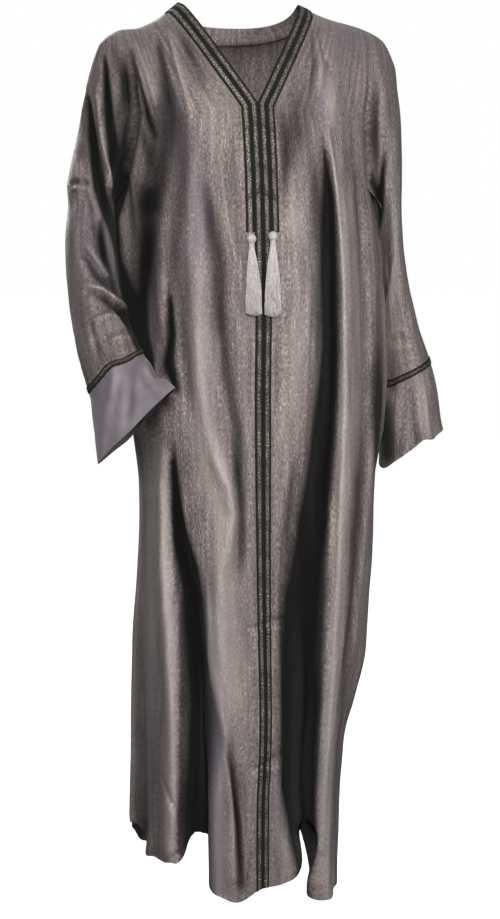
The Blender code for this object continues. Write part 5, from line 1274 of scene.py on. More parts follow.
def front_tops(side, angles):
    """The place across the shoulder's top that each of the front's free columns rises to."""
    sign = SIDES[side]
    first = abs(float(angle_at(2 * BRAID_ROW, ARMHOLE, side)))
    known = (first, *SHARED_TOPS, UNDERARM_ANGLE)
    return smooth(known, shoulder_tops(side)[2:], np.asarray(angles) * sign)


def shoulder_line(side, tops):
    return np.array([shoulder_point(side, top) for top in np.atleast_1d(tops)])


def fine_arm_tops(side):
    start = SHOULDER_BONE[side]
    end = SHOULDER[side]["across"][-1]
    steps = np.arange(1, ARM_STEPS * ARM_FINE + 1) / (ARM_STEPS * ARM_FINE)
    return start + (end - start) * steps


def front_strips(side, bottom, top):
    """The columns under the braid: true to the row width at the part's own rows, straight between."""
    coarse = np.array(YOKE_FRACTIONS)
    ways = np.array([edge_side(fraction) for fraction in coarse])
    edge = np.array([neck_edge(fraction) for fraction in coarse])
    strips = []
    for column, count in enumerate(BRAID_COLUMNS):
        strip = edge + np.stack([ways[:, 0], np.zeros(len(coarse)), ways[:, 1]], axis=1) * BRAID_ROW * count
        strip[:, 0] *= SIDES[side]
        strip[0] = bottom[column]
        strip[-1] = top[column]
        fine = [np.interp(FRACTIONS, coarse, strip[:, axis]) for axis in (0, 2)]
        depth = smooth(coarse, strip[:, 1], FRACTIONS)
        strips.append(np.stack([fine[0], depth, fine[1]], axis=1))
    return np.stack(strips, axis=1)


def make_front(side):
    sign = SIDES[side]
    cloth = Cloth("front_" + side)
    count = len(BRAID_COLUMNS)
    edge_angles = [float(angle_at(step * BRAID_ROW, ARMHOLE, side)) for step in BRAID_COLUMNS]
    free = sign * angle_steps(FIRST_FREE_ANGLE, UNDERARM_ANGLE)
    angles = np.concatenate([edge_angles, free])
    torso = len(angles)
    arc = arm_arc(side, -1)
    bottom = np.concatenate([body_point(angles, ARMHOLE), arc])
    tops = np.concatenate([front_tops(side, free), fine_arm_tops(side)])
    edge_tops = [NECK_POINT[0] + BRAID_ON_SHOULDER * step for step in BRAID_COLUMNS]
    top = np.concatenate([shoulder_line(side, edge_tops), shoulder_line(side, tops)])
    outer = np.array([outer_point(side, fraction) for fraction in FRACTIONS])
    top[-1] = outer[-1]

    strips = front_strips(side, bottom, top)
    shares = girth_shares(bottom[count - 1 :])
    depths = smooth(CHEST["level"], CHEST["share"], FRACTIONS)
    patch = fill(bottom[count - 1 :], top[count - 1 :], strips[:, -1], outer, shares, depths)
    underarm = shares[torso - count]
    soften_underarm(patch, shares, [underarm], *FRONT_VALLEY)
    yoke = np.concatenate([strips[:, :-1], patch], axis=1)

    windows = fade_from_braid(bottom)
    all_shares = np.concatenate([np.zeros(count - 1), shares])
    windows *= ease((1 - all_shares) / FRONT_ARM_FADE)
    upper = ease((1 - FRACTIONS) / SHOULDER_FADE)[:, None]
    arm = ease((all_shares - underarm) / ARM_TURN + ARM_START)
    body = fade_from_braid(bottom) * (1 - ease((all_shares - underarm) / FRONT_BODY_TURN))
    arm_labels = angles[-1] + sign * ARM_ANGLE_STEP * np.arange(1, len(arc) + 1) / ARM_FINE
    labels = np.concatenate([angles, arm_labels])
    yoke_index = cloth.add(yoke, labels, windows * upper, body, arm)

    side_angles = sign * angle_steps(UNDERARM_ANGLE, 90)[1:]
    fixed = np.concatenate([free, side_angles])
    edges = np.stack([angle_at(step * BRAID_ROW, NOMINAL_HEIGHTS, side) for step in BRAID_COLUMNS], axis=1)
    labels = np.concatenate([edges, np.broadcast_to(fixed, (len(edges), len(fixed)))], axis=1)
    heights = eased_height(NOMINAL_HEIGHTS[:, None], labels)
    points = body_point(labels, heights)
    windows = np.concatenate([fade_from_braid(bottom[:torso]), np.ones(len(side_angles))])
    sides = cloth.add(points[:1, torso:], labels[:1, torso:], 1.0)
    arm_here = np.concatenate([arm[:torso], np.ones(len(side_angles))])
    fading = ease((heights[1:] - ARM_FOLDS_END) / ARM_FOLDS_FADE)
    lower = cloth.add(points[1:], labels[1:], windows, windows, arm_here * fading)
    first = np.concatenate([yoke_index[:1, :torso], sides], axis=1)
    skirt_index = np.concatenate([first, lower])

    cloth.join(yoke_index[::-1], flip=side == "left")
    cloth.join(skirt_index, flip=side == "left")
    across = travelled(bottom)
    beside = travelled(points[0, torso - 1 :])[1:]
    cloth.measure(yoke_index, across, way=-1.0)
    cloth.measure(skirt_index, np.concatenate([across[:torso], across[torso - 1] + beside]))
    cloth.yoke, cloth.skirt, cloth.torso = yoke_index, skirt_index, torso
    return cloth


def neck_ring(places, step):
    """Points round the back of the neck, from the left shoulder (1) to the right (-1)."""
    drop = BACK_EDGE_DROP + (BACK_NECK_DROP - BACK_EDGE_DROP) * step / 2
    deep = BACK_EDGE_DEPTH + (BACK_NECK_DEPTH - BACK_EDGE_DEPTH) * step / 2
    across = NECK_POINT[0] + BRAID_ON_SHOULDER * step
    high, wide, far = BACK_NECK_POWERS
    share = 1 - np.abs(places) ** high
    left = shoulder_point("left", across)[2]
    right = shoulder_point("right", across)[2]
    x = across * powered(np.sin(places * math.pi / 2), wide)
    z = right + (left - right) * ease((places + 1) / 2) - drop * share
    return np.stack([x, deep * share**far, z], axis=1)


def back_tops(side, angles):
    """Where the back's columns between the neck and the shoulder's bone reach the shoulder's top."""
    known = (107.0, 115.0, 123.0, float(NECK_ANGLE))
    tops = shoulder_tops(side)
    places = (tops[5], tops[4], tops[3], tops[2])
    return smooth(known, places, angles)


def make_back():
    cloth = Cloth("back")
    first_angle = BACK_ANGLES[0]
    outer_angles = angle_steps(first_angle, NECK_ANGLE)[:-1]
    neck_angles = angle_steps(NECK_ANGLE, 360 - NECK_ANGLE)
    full = np.concatenate([outer_angles, neck_angles, 360 - outer_angles[::-1]])
    left_arc = arm_arc("left", 1)[::-1]
    right_arc = arm_arc("right", 1)
    bottom = np.concatenate([left_arc, body_point(full, ARMHOLE), right_arc])
    keys = np.linspace(1, -1, 2 * sum(angle >= NECK_ANGLE for angle in BACK_ANGLES) - 1)
    key_angles = [angle for angle in BACK_ANGLES if angle >= NECK_ANGLE]
    key_angles += [360 - angle for angle in key_angles[-2::-1]]
    places = smooth(key_angles, keys, neck_angles)
    rings = [neck_ring(places, step) for step in (2.0, 1.5, 1.0, 0.5, 0.0)]
    left_tops = np.concatenate([fine_arm_tops("left")[::-1], back_tops("left", outer_angles)])
    right_tops = np.concatenate([back_tops("right", outer_angles)[::-1], fine_arm_tops("right")])
    top = np.concatenate([shoulder_line("left", left_tops), rings[0], shoulder_line("right", right_tops)])
    left_outer = np.array([outer_point("left", fraction) for fraction in FRACTIONS])
    right_outer = np.array([outer_point("right", fraction) for fraction in FRACTIONS])
    top[0] = left_outer[-1]
    top[-1] = right_outer[-1]
    shares = girth_shares(bottom)
    depths = np.sqrt(1 - FRACTIONS**2)
    patch = fill(bottom, top, left_outer, right_outer, shares, depths)
    arms = len(left_arc)
    underarms = shares[[arms, -1 - arms]]
    soften_underarm(patch, shares, underarms, *BACK_VALLEY)

    windows = ease(shares / BACK_ARM_FADE) * ease((1 - shares) / BACK_ARM_FADE)
    upper = ease((1 - FRACTIONS) / SHOULDER_FADE)[:, None]
    inside = np.minimum(shares - underarms[0], underarms[1] - shares)
    arm = ease(ARM_START - inside / BACK_ARM_TURN)
    arm_labels = ARM_ANGLE_STEP * np.arange(1, arms + 1) / ARM_FINE
    labels = np.concatenate([full[0] - arm_labels[::-1], full, full[-1] + arm_labels])
    yoke_index = cloth.add(patch, labels, windows * upper, ease(1 + inside / ARM_TURN), arm)
    neck_rows = cloth.add(np.array(rings[1:]), 180.0, 0.0)
    start = arms + len(outer_angles)
    neck_index = np.concatenate([yoke_index[-1:, start : start + len(neck_angles)], neck_rows])

    left_side = angle_steps(90, first_angle)[:-1]
    skirt_angles = np.concatenate([left_side, full, 360 - left_side[::-1]])
    heights = eased_height(NOMINAL_HEIGHTS[:, None], skirt_angles[None])
    points = body_point(np.broadcast_to(skirt_angles, heights.shape), heights)
    ends = len(left_side)
    first_left = cloth.add(points[:1, :ends], left_side, 1.0)
    first_right = cloth.add(points[:1, -ends:], 360 - left_side[::-1], 1.0)
    middle = yoke_index[:1, arms:-arms]
    arm_here = np.concatenate([np.ones(ends), arm[arms:-arms], np.ones(ends)])
    fading = ease((heights[1:] - ARM_FOLDS_END) / ARM_FOLDS_FADE)
    lower = cloth.add(points[1:], skirt_angles, 1.0, 1.0, arm_here * fading)
    skirt_index = np.concatenate([np.concatenate([first_left, middle, first_right], axis=1), lower])

    cloth.join(yoke_index[::-1], flip=True)
    cloth.join(neck_index[::-1], flip=True)
    cloth.join(skirt_index, flip=True)
    across = travelled(bottom)
    before = travelled(points[0, : ends + 1])
    after = travelled(points[0, -ends - 1 :])
    left_across = across[arms] + before[:-1] - before[-1]
    right_across = across[-1 - arms] + after[1:]
    cloth.measure(yoke_index, across, way=-1.0)
    cloth.measure(skirt_index, np.concatenate([left_across, across[arms:-arms], right_across]))
    cloth.measure(neck_index, cloth.threads[neck_index[0], 0], cloth.threads[neck_index[0], 1], -1.0)
    cloth.yoke, cloth.skirt, cloth.neck = yoke_index, skirt_index, neck_index
    return cloth


def ring_points(rings, row, side, turns):
    """One ring of a sleeve, at any place between the table's rows. Turns start inside, and 90 is in front."""
    rows = np.arange(len(rings["height"]))
    values = {name: float(smooth(rows, rings[name], row)) for name in rings}
    sign = SIDES[side]
    lean = math.radians(values["lean"])
    heading = math.radians(values["heading"]) * sign
    along = np.array(
        [
            math.sin(lean) * math.sin(heading),
            -math.sin(lean) * math.cos(heading),
            -math.cos(lean),
        ]
    )
    ahead = np.array([0.0, -1.0, 0.0])
    ahead -= along * (ahead @ along)
    ahead /= np.linalg.norm(ahead)
    inner = sign * np.cross(along, ahead)
    centre = np.array([sign * values["across"], -values["forward"], values["height"]])
    angle = np.radians(turns)[:, None]
    return centre + ahead * values["deep"] * np.sin(angle) + inner * values["wide"] * np.cos(angle)


def armhole_ring(side):
    """The armhole seam all round: front arc, back arc, then the inner side under the arm."""
    sign = SIDES[side]
    front = arm_arc(side, -1)
    back = arm_arc(side, 1)
    inner_angles = angle_steps(180 - UNDERARM_ANGLE, UNDERARM_ANGLE)
    inner = body_point(sign * inner_angles, ARMHOLE)
    away = inner - np.array([0.0, 0.0, ARMHOLE])
    away /= np.linalg.norm(away, axis=1)[:, None]
    from_ends = np.minimum(inner_angles - UNDERARM_ANGLE, 180 - UNDERARM_ANGLE - inner_angles)
    clear = UNDERARM_CLEAR * ease(from_ends / CLEAR_DEGREES)
    arcs = np.concatenate([front, back[-2::-1]])
    offset = np.concatenate([np.zeros_like(arcs), away * clear[:, None]])
    return np.concatenate([arcs, inner]) + offset, offset


def flow(knots, first_tangent, length):
    """Rows through the knot rows, each column a smooth curve, about length apart."""
    knots = np.array(knots)
    steps = np.linalg.norm(np.diff(knots, axis=0), axis=2).mean(axis=1)
    along = np.concatenate([[0.0], np.cumsum(steps)])
    tangents = np.empty_like(knots)
    tangents[1:-1] = (knots[2:] - knots[:-2]) / (along[2:] - along[:-2])[:, None, None]
    tangents[-1] = (knots[-1] - knots[-2]) / steps[-1]
    tangents[0] = first_tangent
    places = np.linspace(0, along[-1], max(2, round(along[-1] / length)) + 1)
    rows = []
    for place in places:
        at = min(int(np.searchsorted(along, place, side="right")) - 1, len(steps) - 1)
        step = steps[at]
        part = (place - along[at]) / step
        squared, cubed = part**2, part**3
        rows.append(
            (2 * cubed - 3 * squared + 1) * knots[at]
            + (cubed - 2 * squared + part) * step * tangents[at]
            + (3 * squared - 2 * cubed) * knots[at + 1]
            + (cubed - squared) * step * tangents[at + 1]
        )
    return np.array(rows)


def ring_turns(side, ring):
    centre = np.array([SIDES[side] * ARM_CENTRE[side][0], ARM_CENTRE[side][1], ARMHOLE])
    spokes = ring - centre
    across = -SIDES[side] * spokes[:, 0] / ARM_HALF_WIDTH
    return np.degrees(np.arctan2(-spokes[:, 1] / ARM_HALF_DEPTH, across))


def tube_cloth(name, side, rows, turns):
    """A tube of cloth through rows of points, closed round."""
    cloth = Cloth(name)
    index = cloth.add(rows, turns, 1.0, body=0.0, arm=1.0)
    cloth.measure(index, travelled(rows[len(rows) // 2]))
    cloth.rings = np.concatenate([index, index[:, :1]], axis=1)
    cloth.join(cloth.rings, flip=side == "left")
    return cloth


def make_sleeve(side, front, back):
    """The sleeve and the cuff, which go on smoothly from the cloth above the armhole."""
    first, clear = armhole_ring(side)
    turns = ring_turns(side, first)
    arms = ARM_STEPS * ARM_FINE
    above_front = front.points[front.yoke[1, front.torso :]]
    back_row = back.points[back.yoke[1]]
    above_back = back_row[:arms] if side == "left" else back_row[: -arms - 1 : -1]
    down = np.tile(np.array([0.0, 0.0, -1.0]), (len(first), 1))
    above = np.concatenate([above_front, above_back[1:]])
    slope = first[: len(above)] - above
    down[: len(above)] = slope / np.linalg.norm(slope, axis=1)[:, None]
    rings = SLEEVES[side]
    knots = [first] + [ring_points(rings, row, side, turns) for row in range(len(rings["height"]))]
    sleeve_rows = flow(knots, down, SLEEVE_ROW)
    cuff_table = CUFFS[side]
    knots = [ring_points(cuff_table, row, side, turns) for row in range(len(cuff_table["height"]))]
    step = sleeve_rows[-1] - sleeve_rows[-2]
    cuff_rows = flow(knots, step / np.linalg.norm(step, axis=1)[:, None], SLEEVE_ROW)
    sleeve = tube_cloth("sleeve_" + side, side, sleeve_rows, turns)
    cuff = tube_cloth("cuff_" + side, side, cuff_rows, turns)
    sleeve.clear = clear
    return sleeve, cuff


def shared_normals(panels):
    """The outward direction at each point, the same on both sides of a seam."""
    points = np.concatenate([panel.points for panel in panels])
    _, merged = np.unique(np.round(points, 6), axis=0, return_inverse=True)
    merged = merged.reshape(-1)
    total = np.zeros((merged.max() + 1, 3))
    first = 0
    for panel in panels:
        quads = panel.quads + first
        corners = points[quads]
        facing = np.cross(corners[:, 2] - corners[:, 0], corners[:, 3] - corners[:, 1])
        for axis in range(3):
            for corner in range(4):
                at = merged[quads[:, corner]]
                total[:, axis] += np.bincount(at, facing[:, axis], len(total))
        first += len(panel.points)
    total /= np.maximum(np.linalg.norm(total, axis=1), 1e-12)[:, None]
    found = total[merged]
    first = 0
    for panel in panels:
        panel.normals = found[first : first + len(panel.points)]
        first += len(panel.points)


def apply_creases(panels):
    """The part's own large folds, and the placket's own slight drift to a side; the folds' rise also sets
    painted shade and highlight.
    """
    for panel in panels:
        if panel.name != "back":
            shift = smooth(PLACKET_SHIFT["height"], PLACKET_SHIFT["across"], panel.points[:, 2])
            panel.points[:, 0] += shift * np.exp(-((panel.points[:, 0] / SHIFT_WIDTH) ** 2))
        labels, windows = panel.facts[:, 0], panel.facts[:, 1]
        rise, slide = crease_moves(labels, panel.points[:, 2])
        along = np.cross(panel.normals, (0.0, 0.0, -1.0))
        panel.points = panel.points + panel.normals * (rise * windows)[:, None]
        panel.points = panel.points + along * (slide * windows)[:, None]
        # The creases' rise is kept as tone for the painted shade in valleys and painted highlight on ridges.
        panel.tones = CREASE_LIGHT_AND_SHADE * rise * windows


def camera_axes():
    """Which way the camera looks, and which ways are right and up for it."""
    forward = np.array(
        [
            math.sin(CAMERA_TURN) * math.cos(CAMERA_PITCH),
            math.cos(CAMERA_TURN) * math.cos(CAMERA_PITCH),
            -math.sin(CAMERA_PITCH),
        ]
    )
    right = np.array([math.cos(CAMERA_TURN), -math.sin(CAMERA_TURN), 0.0])
    return forward, right, np.cross(right, forward)


def on_picture(points):
    """Where points fall on the picture's plane, across and up from the origin, in metres."""
    forward, right, up = camera_axes()
    away = points - CAMERA_PLACE
    deep = away @ forward
    across = away @ right / deep * PICTURE_DISTANCE + PICTURE_ORIGIN[0]
    height = away @ up / deep * PICTURE_DISTANCE + PICTURE_ORIGIN[1]
    return np.stack([across, height], axis=1)


def fold_rise(places, fold):
    """How far one fold moves each place out of the cloth, by its distance from the fold's line."""
    line = np.stack([fold["across"], fold["height"]], axis=1)
    reach = FOLD_REACH * max(fold["left"].max(), fold["right"].max())
    near = ((places > line.min(axis=0) - reach) & (places < line.max(axis=0) + reach)).all(axis=1)
    found = np.zeros(len(places))
    if not near.any():
        return found
    close = places[near]
    best = np.full(len(close), np.inf)
    rise = np.zeros(len(close))
    for row in range(len(line) - 1):
        start, step = line[row], line[row + 1] - line[row]
        gap = close - start
        part = np.clip(gap @ step / (step @ step), 0, 1)
        rest = gap - part[:, None] * step
        distance = np.linalg.norm(rest, axis=1)
        side = step[0] * rest[:, 1] - step[1] * rest[:, 0]
        values = {}
        for name in ("left", "right", "rise"):
            values[name] = fold[name][row] + (fold[name][row + 1] - fold[name][row]) * part
        width = np.where(side < 0, values["left"], values["right"])
        one = values["rise"] * np.exp(-((distance / width) ** 2))
        nearer = distance < best
        best = np.where(nearer, distance, best)
        rise = np.where(nearer, one, rise)
    found[near] = rise
    return found


def apply_folds(panels):
    """The folds seen in the picture, then like ones on the sides and the back that it hides, and the painted
    shade and painted highlight that go with them.
    """
    for panel in panels:
        places = on_picture(panel.points)
        away = CAMERA_PLACE - panel.points
        away /= np.linalg.norm(away, axis=1)[:, None]
        turned = (panel.normals * away).sum(axis=1)
        facing = ease(turned / FACING_SHARE)
        seen = ease(0.5 + turned / FACING_SHARE)
        rise = np.zeros(len(panel.points))
        shade = np.zeros(len(panel.points))
        panel.satin = np.zeros(len(panel.points))
        for folds, shades, column in ((BODY_FOLDS, BODY_PAINTED_SHADE_AND_LIGHT, 2), (ARM_FOLDS, ARM_PAINTED_SHADE_AND_LIGHT, 3)):
            weight = panel.facts[:, column]
            for fold in folds:
                rise += FOLD_DEPTH * fold_rise(places, fold) * weight * facing
            # Painted shade and painted highlight from the tables, kept in the tone and not in the shape.
            for fold in shades:
                shade += fold_rise(places, fold) * weight * seen
        for patch in SATIN_PATCHES:
            panel.satin += fold_rise(places, patch) * panel.facts[:, 2] * seen
        if panel.name.startswith("front"):
            for fold in PLACKET_FOLDS:
                rise += fold_rise(places, fold)
        if panel.name.startswith(("front", "back")):
            girth = np.where(panel.facts[:, 0] < 0, panel.facts[:, 0] + 360, panel.facts[:, 0])
            round_body = np.stack([girth * GIRTH_DEGREE, panel.points[:, 2]], axis=1)
            for fold in HIDDEN_FOLDS:
                rise += fold_rise(round_body, fold) * panel.facts[:, 1] * panel.facts[:, 2]
        else:
            lengths = np.stack([panel.facts[:, 0] % 360 * SLEEVE_DEGREE, panel.points[:, 2]], axis=1)
            for fold in SLEEVE_BACK_FOLDS:
                rise += fold_rise(lengths, fold)
        panel.points = panel.points + panel.normals * rise[:, None]
        # The tone paints shade into the valleys and highlight onto the ridges, from the folds' rise and the
        # painted shade and light.
        panel.tones = panel.tones + rise / FOLD_DEPTH + shade


def apply_pulls(panels):
    """Moves cloth a little across or up the picture's plane, evenly with what lies behind it."""
    _, right, up = camera_axes()
    for panel in panels:
        places = on_picture(panel.points)
        move = np.zeros_like(places)
        for x, z, wide, high, to_right, to_up in PULLS:
            share = np.exp(-(((places[:, 0] - x) / wide) ** 2) - ((places[:, 1] - z) / high) ** 2)
            move += share[:, None] * np.array([to_right, to_up])
        panel.points = panel.points + move[:, :1] * right + move[:, 1:] * up


def value_noise(points, size, seed):
    """Smooth random numbers from -1 to 1 in space, on a grid of the given cell sizes."""
    cell = points / np.array(size) + NOISE_SHIFT
    base = np.floor(cell).astype(np.int64)
    part = ease(cell - base)
    total = np.zeros(len(points))
    for corner in range(8):
        step = np.array([corner & 1, corner >> 1 & 1, corner >> 2 & 1])
        key = base + step
        number = seed * CELL_FACTORS[3]
        for axis in range(3):
            number = number ^ key[:, axis] * CELL_FACTORS[axis]
        number = (number & LOW_BITS) * MIX_FACTORS[0] & LOW_BITS
        number = (number ^ number >> 15) * MIX_FACTORS[1] & LOW_BITS
        value = (number >> 8) / float(1 << 23) - 1.0
        share = np.where(step[None] == 1, part, 1 - part).prod(axis=1)
        total += value * share
    return total


def apply_crinkle(panels):
    """Small uneven ripples of a thin cloth that hangs."""
    for panel in panels:
        move = np.zeros(len(panel.points))
        for size, height, seed in CRINKLES:
            move += height * value_noise(panel.points, size, seed)
        panel.points = panel.points + panel.normals * (move * panel.facts[:, 1])[:, None]


class Shader:
    """A material in the making, with short ways to add the nodes that all of them use."""

    def __init__(self, name, roughness, metallic, sheen=0.0, gloss=0.5):
        self.material = bpy.data.materials.new(name)
        self.material.use_nodes = True
        self.tree = self.material.node_tree
        self.main = self.tree.nodes["Principled BSDF"]
        self.main.inputs["Roughness"].default_value = roughness
        self.main.inputs["Metallic"].default_value = metallic
        self.main.inputs["Sheen Weight"].default_value = sheen
        self.main.inputs["Specular IOR Level"].default_value = gloss

    def feed(self, socket, value):
        """Links another node's output into a socket, or sets the socket's value."""
        if isinstance(value, bpy.types.NodeSocket):
            self.tree.links.new(value, socket)
        else:
            socket.default_value = value

    def add(self, kind, **inputs):
        """Adds a node, with its inputs or its own settings by name."""
        node = self.tree.nodes.new(kind)
        for name, value in inputs.items():
            key = name.replace("_", " ")
            if key in node.inputs:
                self.feed(node.inputs[key], value)
            else:
                setattr(node, name, value)
        return node

    def link(self, socket, name):
        self.tree.links.new(socket, self.main.inputs[name])

    def threads(self, across, along):
        """The cloth's own threads in metres, times two scales."""
        uv = self.add("ShaderNodeUVMap")
        uv.uv_map = "threads"
        mapping = self.add("ShaderNodeMapping", Vector=uv.outputs["UV"])
        mapping.inputs["Scale"].default_value = (across, along, 1.0)
        return mapping.outputs["Vector"]

    def in_space(self, scales):
        place = self.add("ShaderNodeTexCoord").outputs["Object"]
        return self.add("ShaderNodeMapping", Vector=place, Scale=scales).outputs["Vector"]

    def noise(self, vector, detail=2.0, roughness=0.5):
        node = self.add("ShaderNodeTexNoise", Vector=vector, Scale=1.0, Detail=detail)
        node.inputs["Roughness"].default_value = roughness
        return node.outputs["Fac"]

    def spread(self, value, low, high, to_low=0.0, to_high=1.0):
        node = self.add("ShaderNodeMapRange", Value=value)
        node.inputs["From Min"].default_value = low
        node.inputs["From Max"].default_value = high
        node.inputs["To Min"].default_value = to_low
        node.inputs["To Max"].default_value = to_high
        return node.outputs["Result"]

    def math(self, operation, first, second):
        node = self.tree.nodes.new("ShaderNodeMath")
        node.operation = operation
        for socket, value in zip(node.inputs, (first, second)):
            self.feed(socket, value)
        return node.outputs["Value"]

    def ramp(self, value, stops):
        node = self.add("ShaderNodeValToRGB", Fac=value)
        points = node.color_ramp.elements
        while len(points) < len(stops):
            points.new(0.5)
        for point, (place, color) in zip(points, stops):
            point.position = place
            point.color = color_light(color)
        return node.outputs["Color"]

    def mix(self, share, first, second, blend="MIX"):
        node = self.tree.nodes.new("ShaderNodeMix")
        node.data_type = "RGBA"
        node.blend_type = blend
        for socket, value in zip((node.inputs[0], node.inputs[6], node.inputs[7]), (share, first, second)):
            self.feed(socket, color_light(value) if isinstance(value, tuple) else value)
        return node.outputs[2]

    def bump(self, height, distance, strength=1.0, under=None):
        node = self.add("ShaderNodeBump", Height=height, Distance=distance, Strength=strength)
        if under is not None:
            self.tree.links.new(under, node.inputs["Normal"])
        return node.outputs["Normal"]


# Colours, as 0 to 255 a channel. A ramp's stops give a place along the noise and the colour there.
# Painted shade mixed into the folds' valleys and painted highlight mixed onto their ridges.
PAINTED_VALLEY_SHADE = (11, 9, 9)
PAINTED_RIDGE_HIGHLIGHT = (192, 180, 174)
MAUVE = (112, 102, 113)
SATIN_MAUVE = (112, 103, 114)
# Pale specks painted in for the glints of the metal thread.
PAINTED_GLINT = (224, 214, 206)
CLOTH_STOPS = (
    (0.34, (64, 57, 56)),
    (0.46, (108, 98, 96)),
    (0.55, (135, 124, 121)),
    (0.66, (186, 173, 167)),
)
CUFF_STOPS = ((0.34, (98, 90, 97)), (0.50, (114, 105, 112)), (0.66, (132, 123, 127)))
BRAID_DARK_STOPS = ((0.36, (8, 7, 6)), (0.54, (18, 17, 14)), (0.68, (40, 38, 32)))
BRAID_LIGHT_STOPS = (
    (0.40, (22, 20, 17)),
    (0.50, (68, 62, 53)),
    (0.57, (134, 124, 108)),
    (0.64, (224, 212, 190)),
)
SILK_STOPS = ((0.36, (124, 114, 116)), (0.52, (184, 174, 175)), (0.66, (228, 219, 217)))
# Noise cells a metre, across and along the cloth's threads.
CLOTH_GRAIN = (380, 150)
CLOTH_STREAKS = (110, 12)
CLOTH_SPECKS = (1700, 1100)
CUFF_GRAIN = (500, 260)
CUFF_CLOUDS = (26, 18)
BRAID_WEAVE = (560, 460)
BRAID_STRETCHES = (30, 45)
# And across, deep and high in the garment's own space.
CLOTH_PATCHES = (8.0, 8.0, 3.5)
SILK_THREADS = (2500.0, 2500.0, 60.0)


def channel_light(value):
    """Linear light of a colour channel given as 0 to 255."""
    share = value / 255
    return share / 12.92 if share <= 0.04045 else ((share + 0.055) / 1.055) ** 2.4


def color_light(color):
    return (*(channel_light(part) for part in color), 1.0)


def paint_shade_and_highlight(shader, color, deep, high):
    """Paints shade into the cloth's colour in its valleys and a highlight along its ridges, by the tone kept
    at each point.

    It gives the color, and how much painted valley shade each point has."""
    tone = shader.add("ShaderNodeAttribute", attribute_name="tone").outputs["Fac"]
    valley = shader.spread(tone, 0.05, 0.50, 1.0, 0.0)
    ridge = shader.spread(tone, 0.50, 0.95, 0.0, 1.0)
    # deep sets how strongly the painted shade darkens the valleys, high how strongly the painted highlight
    # lightens the ridges.
    color = shader.mix(shader.math("MULTIPLY", valley, deep), color, PAINTED_VALLEY_SHADE)
    return shader.mix(shader.math("MULTIPLY", ridge, high), color, PAINTED_RIDGE_HIGHLIGHT), valley


def cloth_material():
    """Crinkled taupe cloth with a faint metal thread, streaked lengthwise, and patches of mauve, with the
    thread's glints painted in as pale specks, painted shade in the folds' valleys and painted highlight on
    their ridges.
    """
    shader = Shader("crinkled_cloth", 0.42, 0.45, 0.04, 0.25)
    fine = shader.noise(shader.threads(*CLOTH_GRAIN), 4.0, 0.75)
    streaks = shader.noise(shader.threads(*CLOTH_STREAKS), 2.0, 0.5)
    specks = shader.noise(shader.threads(*CLOTH_SPECKS), 1.0, 0.5)
    patches = shader.noise(shader.in_space(CLOTH_PATCHES), 1.0)
    tone = shader.math("ADD", shader.math("MULTIPLY", fine, 0.72), shader.math("MULTIPLY", streaks, 0.28))
    color = shader.ramp(tone, CLOTH_STOPS)
    mauve = shader.spread(patches, 0.52, 0.68)
    color = shader.mix(shader.math("MULTIPLY", mauve, 0.40), color, MAUVE)
    # Painted glints of the metal thread, as pale specks in the colour.
    painted_glints = shader.spread(specks, 0.62, 0.74)
    color = shader.mix(shader.math("MULTIPLY", painted_glints, 0.34), color, PAINTED_GLINT)
    satin = shader.add("ShaderNodeAttribute", attribute_name="satin").outputs["Fac"]
    color = shader.mix(shader.math("MULTIPLY", satin, 0.85), color, SATIN_MAUVE)
    color, valley = paint_shade_and_highlight(shader, color, 0.98, 0.42)
    shader.link(color, "Base Color")
    rough = shader.spread(fine, 0.3, 0.7, 0.58, 0.40)
    shader.link(shader.math("MAXIMUM", rough, shader.spread(valley, 0.3, 1.0, 0.4, 1.0)), "Roughness")
    broad = shader.bump(streaks, 0.0010)
    rough = shader.bump(fine, 0.0019, 1.0, broad)
    strength = shader.spread(satin, 0.0, 1.0, 1.0, 0.3)
    shader.tree.links.new(strength, rough.node.inputs["Strength"])
    shader.link(rough, "Normal")
    return shader.material


def cuff_material():
    """The smoother, satin side of the same cloth, with painted shade in its folds' valleys and painted
    highlight on their ridges.
    """
    shader = Shader("satin_cuff", 0.50, 0.15, 0.2)
    fine = shader.noise(shader.threads(*CUFF_GRAIN), 3.0, 0.6)
    broad = shader.noise(shader.threads(*CUFF_CLOUDS), 2.0, 0.5)
    tone = shader.math("ADD", shader.math("MULTIPLY", fine, 0.45), shader.math("MULTIPLY", broad, 0.55))
    color = shader.ramp(tone, CUFF_STOPS)
    shader.link(paint_shade_and_highlight(shader, color, 0.6, 0.2)[0], "Base Color")
    under = shader.bump(broad, 0.0006)
    shader.link(shader.bump(fine, 0.0004, 0.8, under), "Normal")
    return shader.material


def braid_material():
    """Dark braid: near-black edge cords and a worked middle that catches the light."""
    shader = Shader("braid", 0.55, 0.25)
    weave = shader.noise(shader.threads(*BRAID_WEAVE), 3.0, 0.65)
    tone = shader.add("ShaderNodeAttribute", attribute_name="tone").outputs["Fac"]
    dark = shader.ramp(weave, BRAID_DARK_STOPS)
    light = shader.ramp(weave, BRAID_LIGHT_STOPS)
    stretches = shader.noise(shader.threads(*BRAID_STRETCHES), 2.0, 0.6)
    tone = shader.math("MULTIPLY", tone, shader.spread(stretches, 0.38, 0.62, 0.45, 1.0))
    shader.link(shader.mix(tone, dark, light), "Base Color")
    shader.link(shader.spread(tone, 0.1, 0.6, 0.92, 0.45), "Roughness")
    shader.link(shader.bump(weave, 0.0007), "Normal")
    return shader.material


def silk_material():
    """Pale silk thread, finely streaked down its length."""
    shader = Shader("silk", 0.40, 0.05, 0.5)
    fine = shader.noise(shader.in_space(SILK_THREADS))
    color = shader.ramp(fine, SILK_STOPS)
    shader.link(color, "Base Color")
    shader.link(shader.bump(fine, 0.0004), "Normal")
    return shader.material


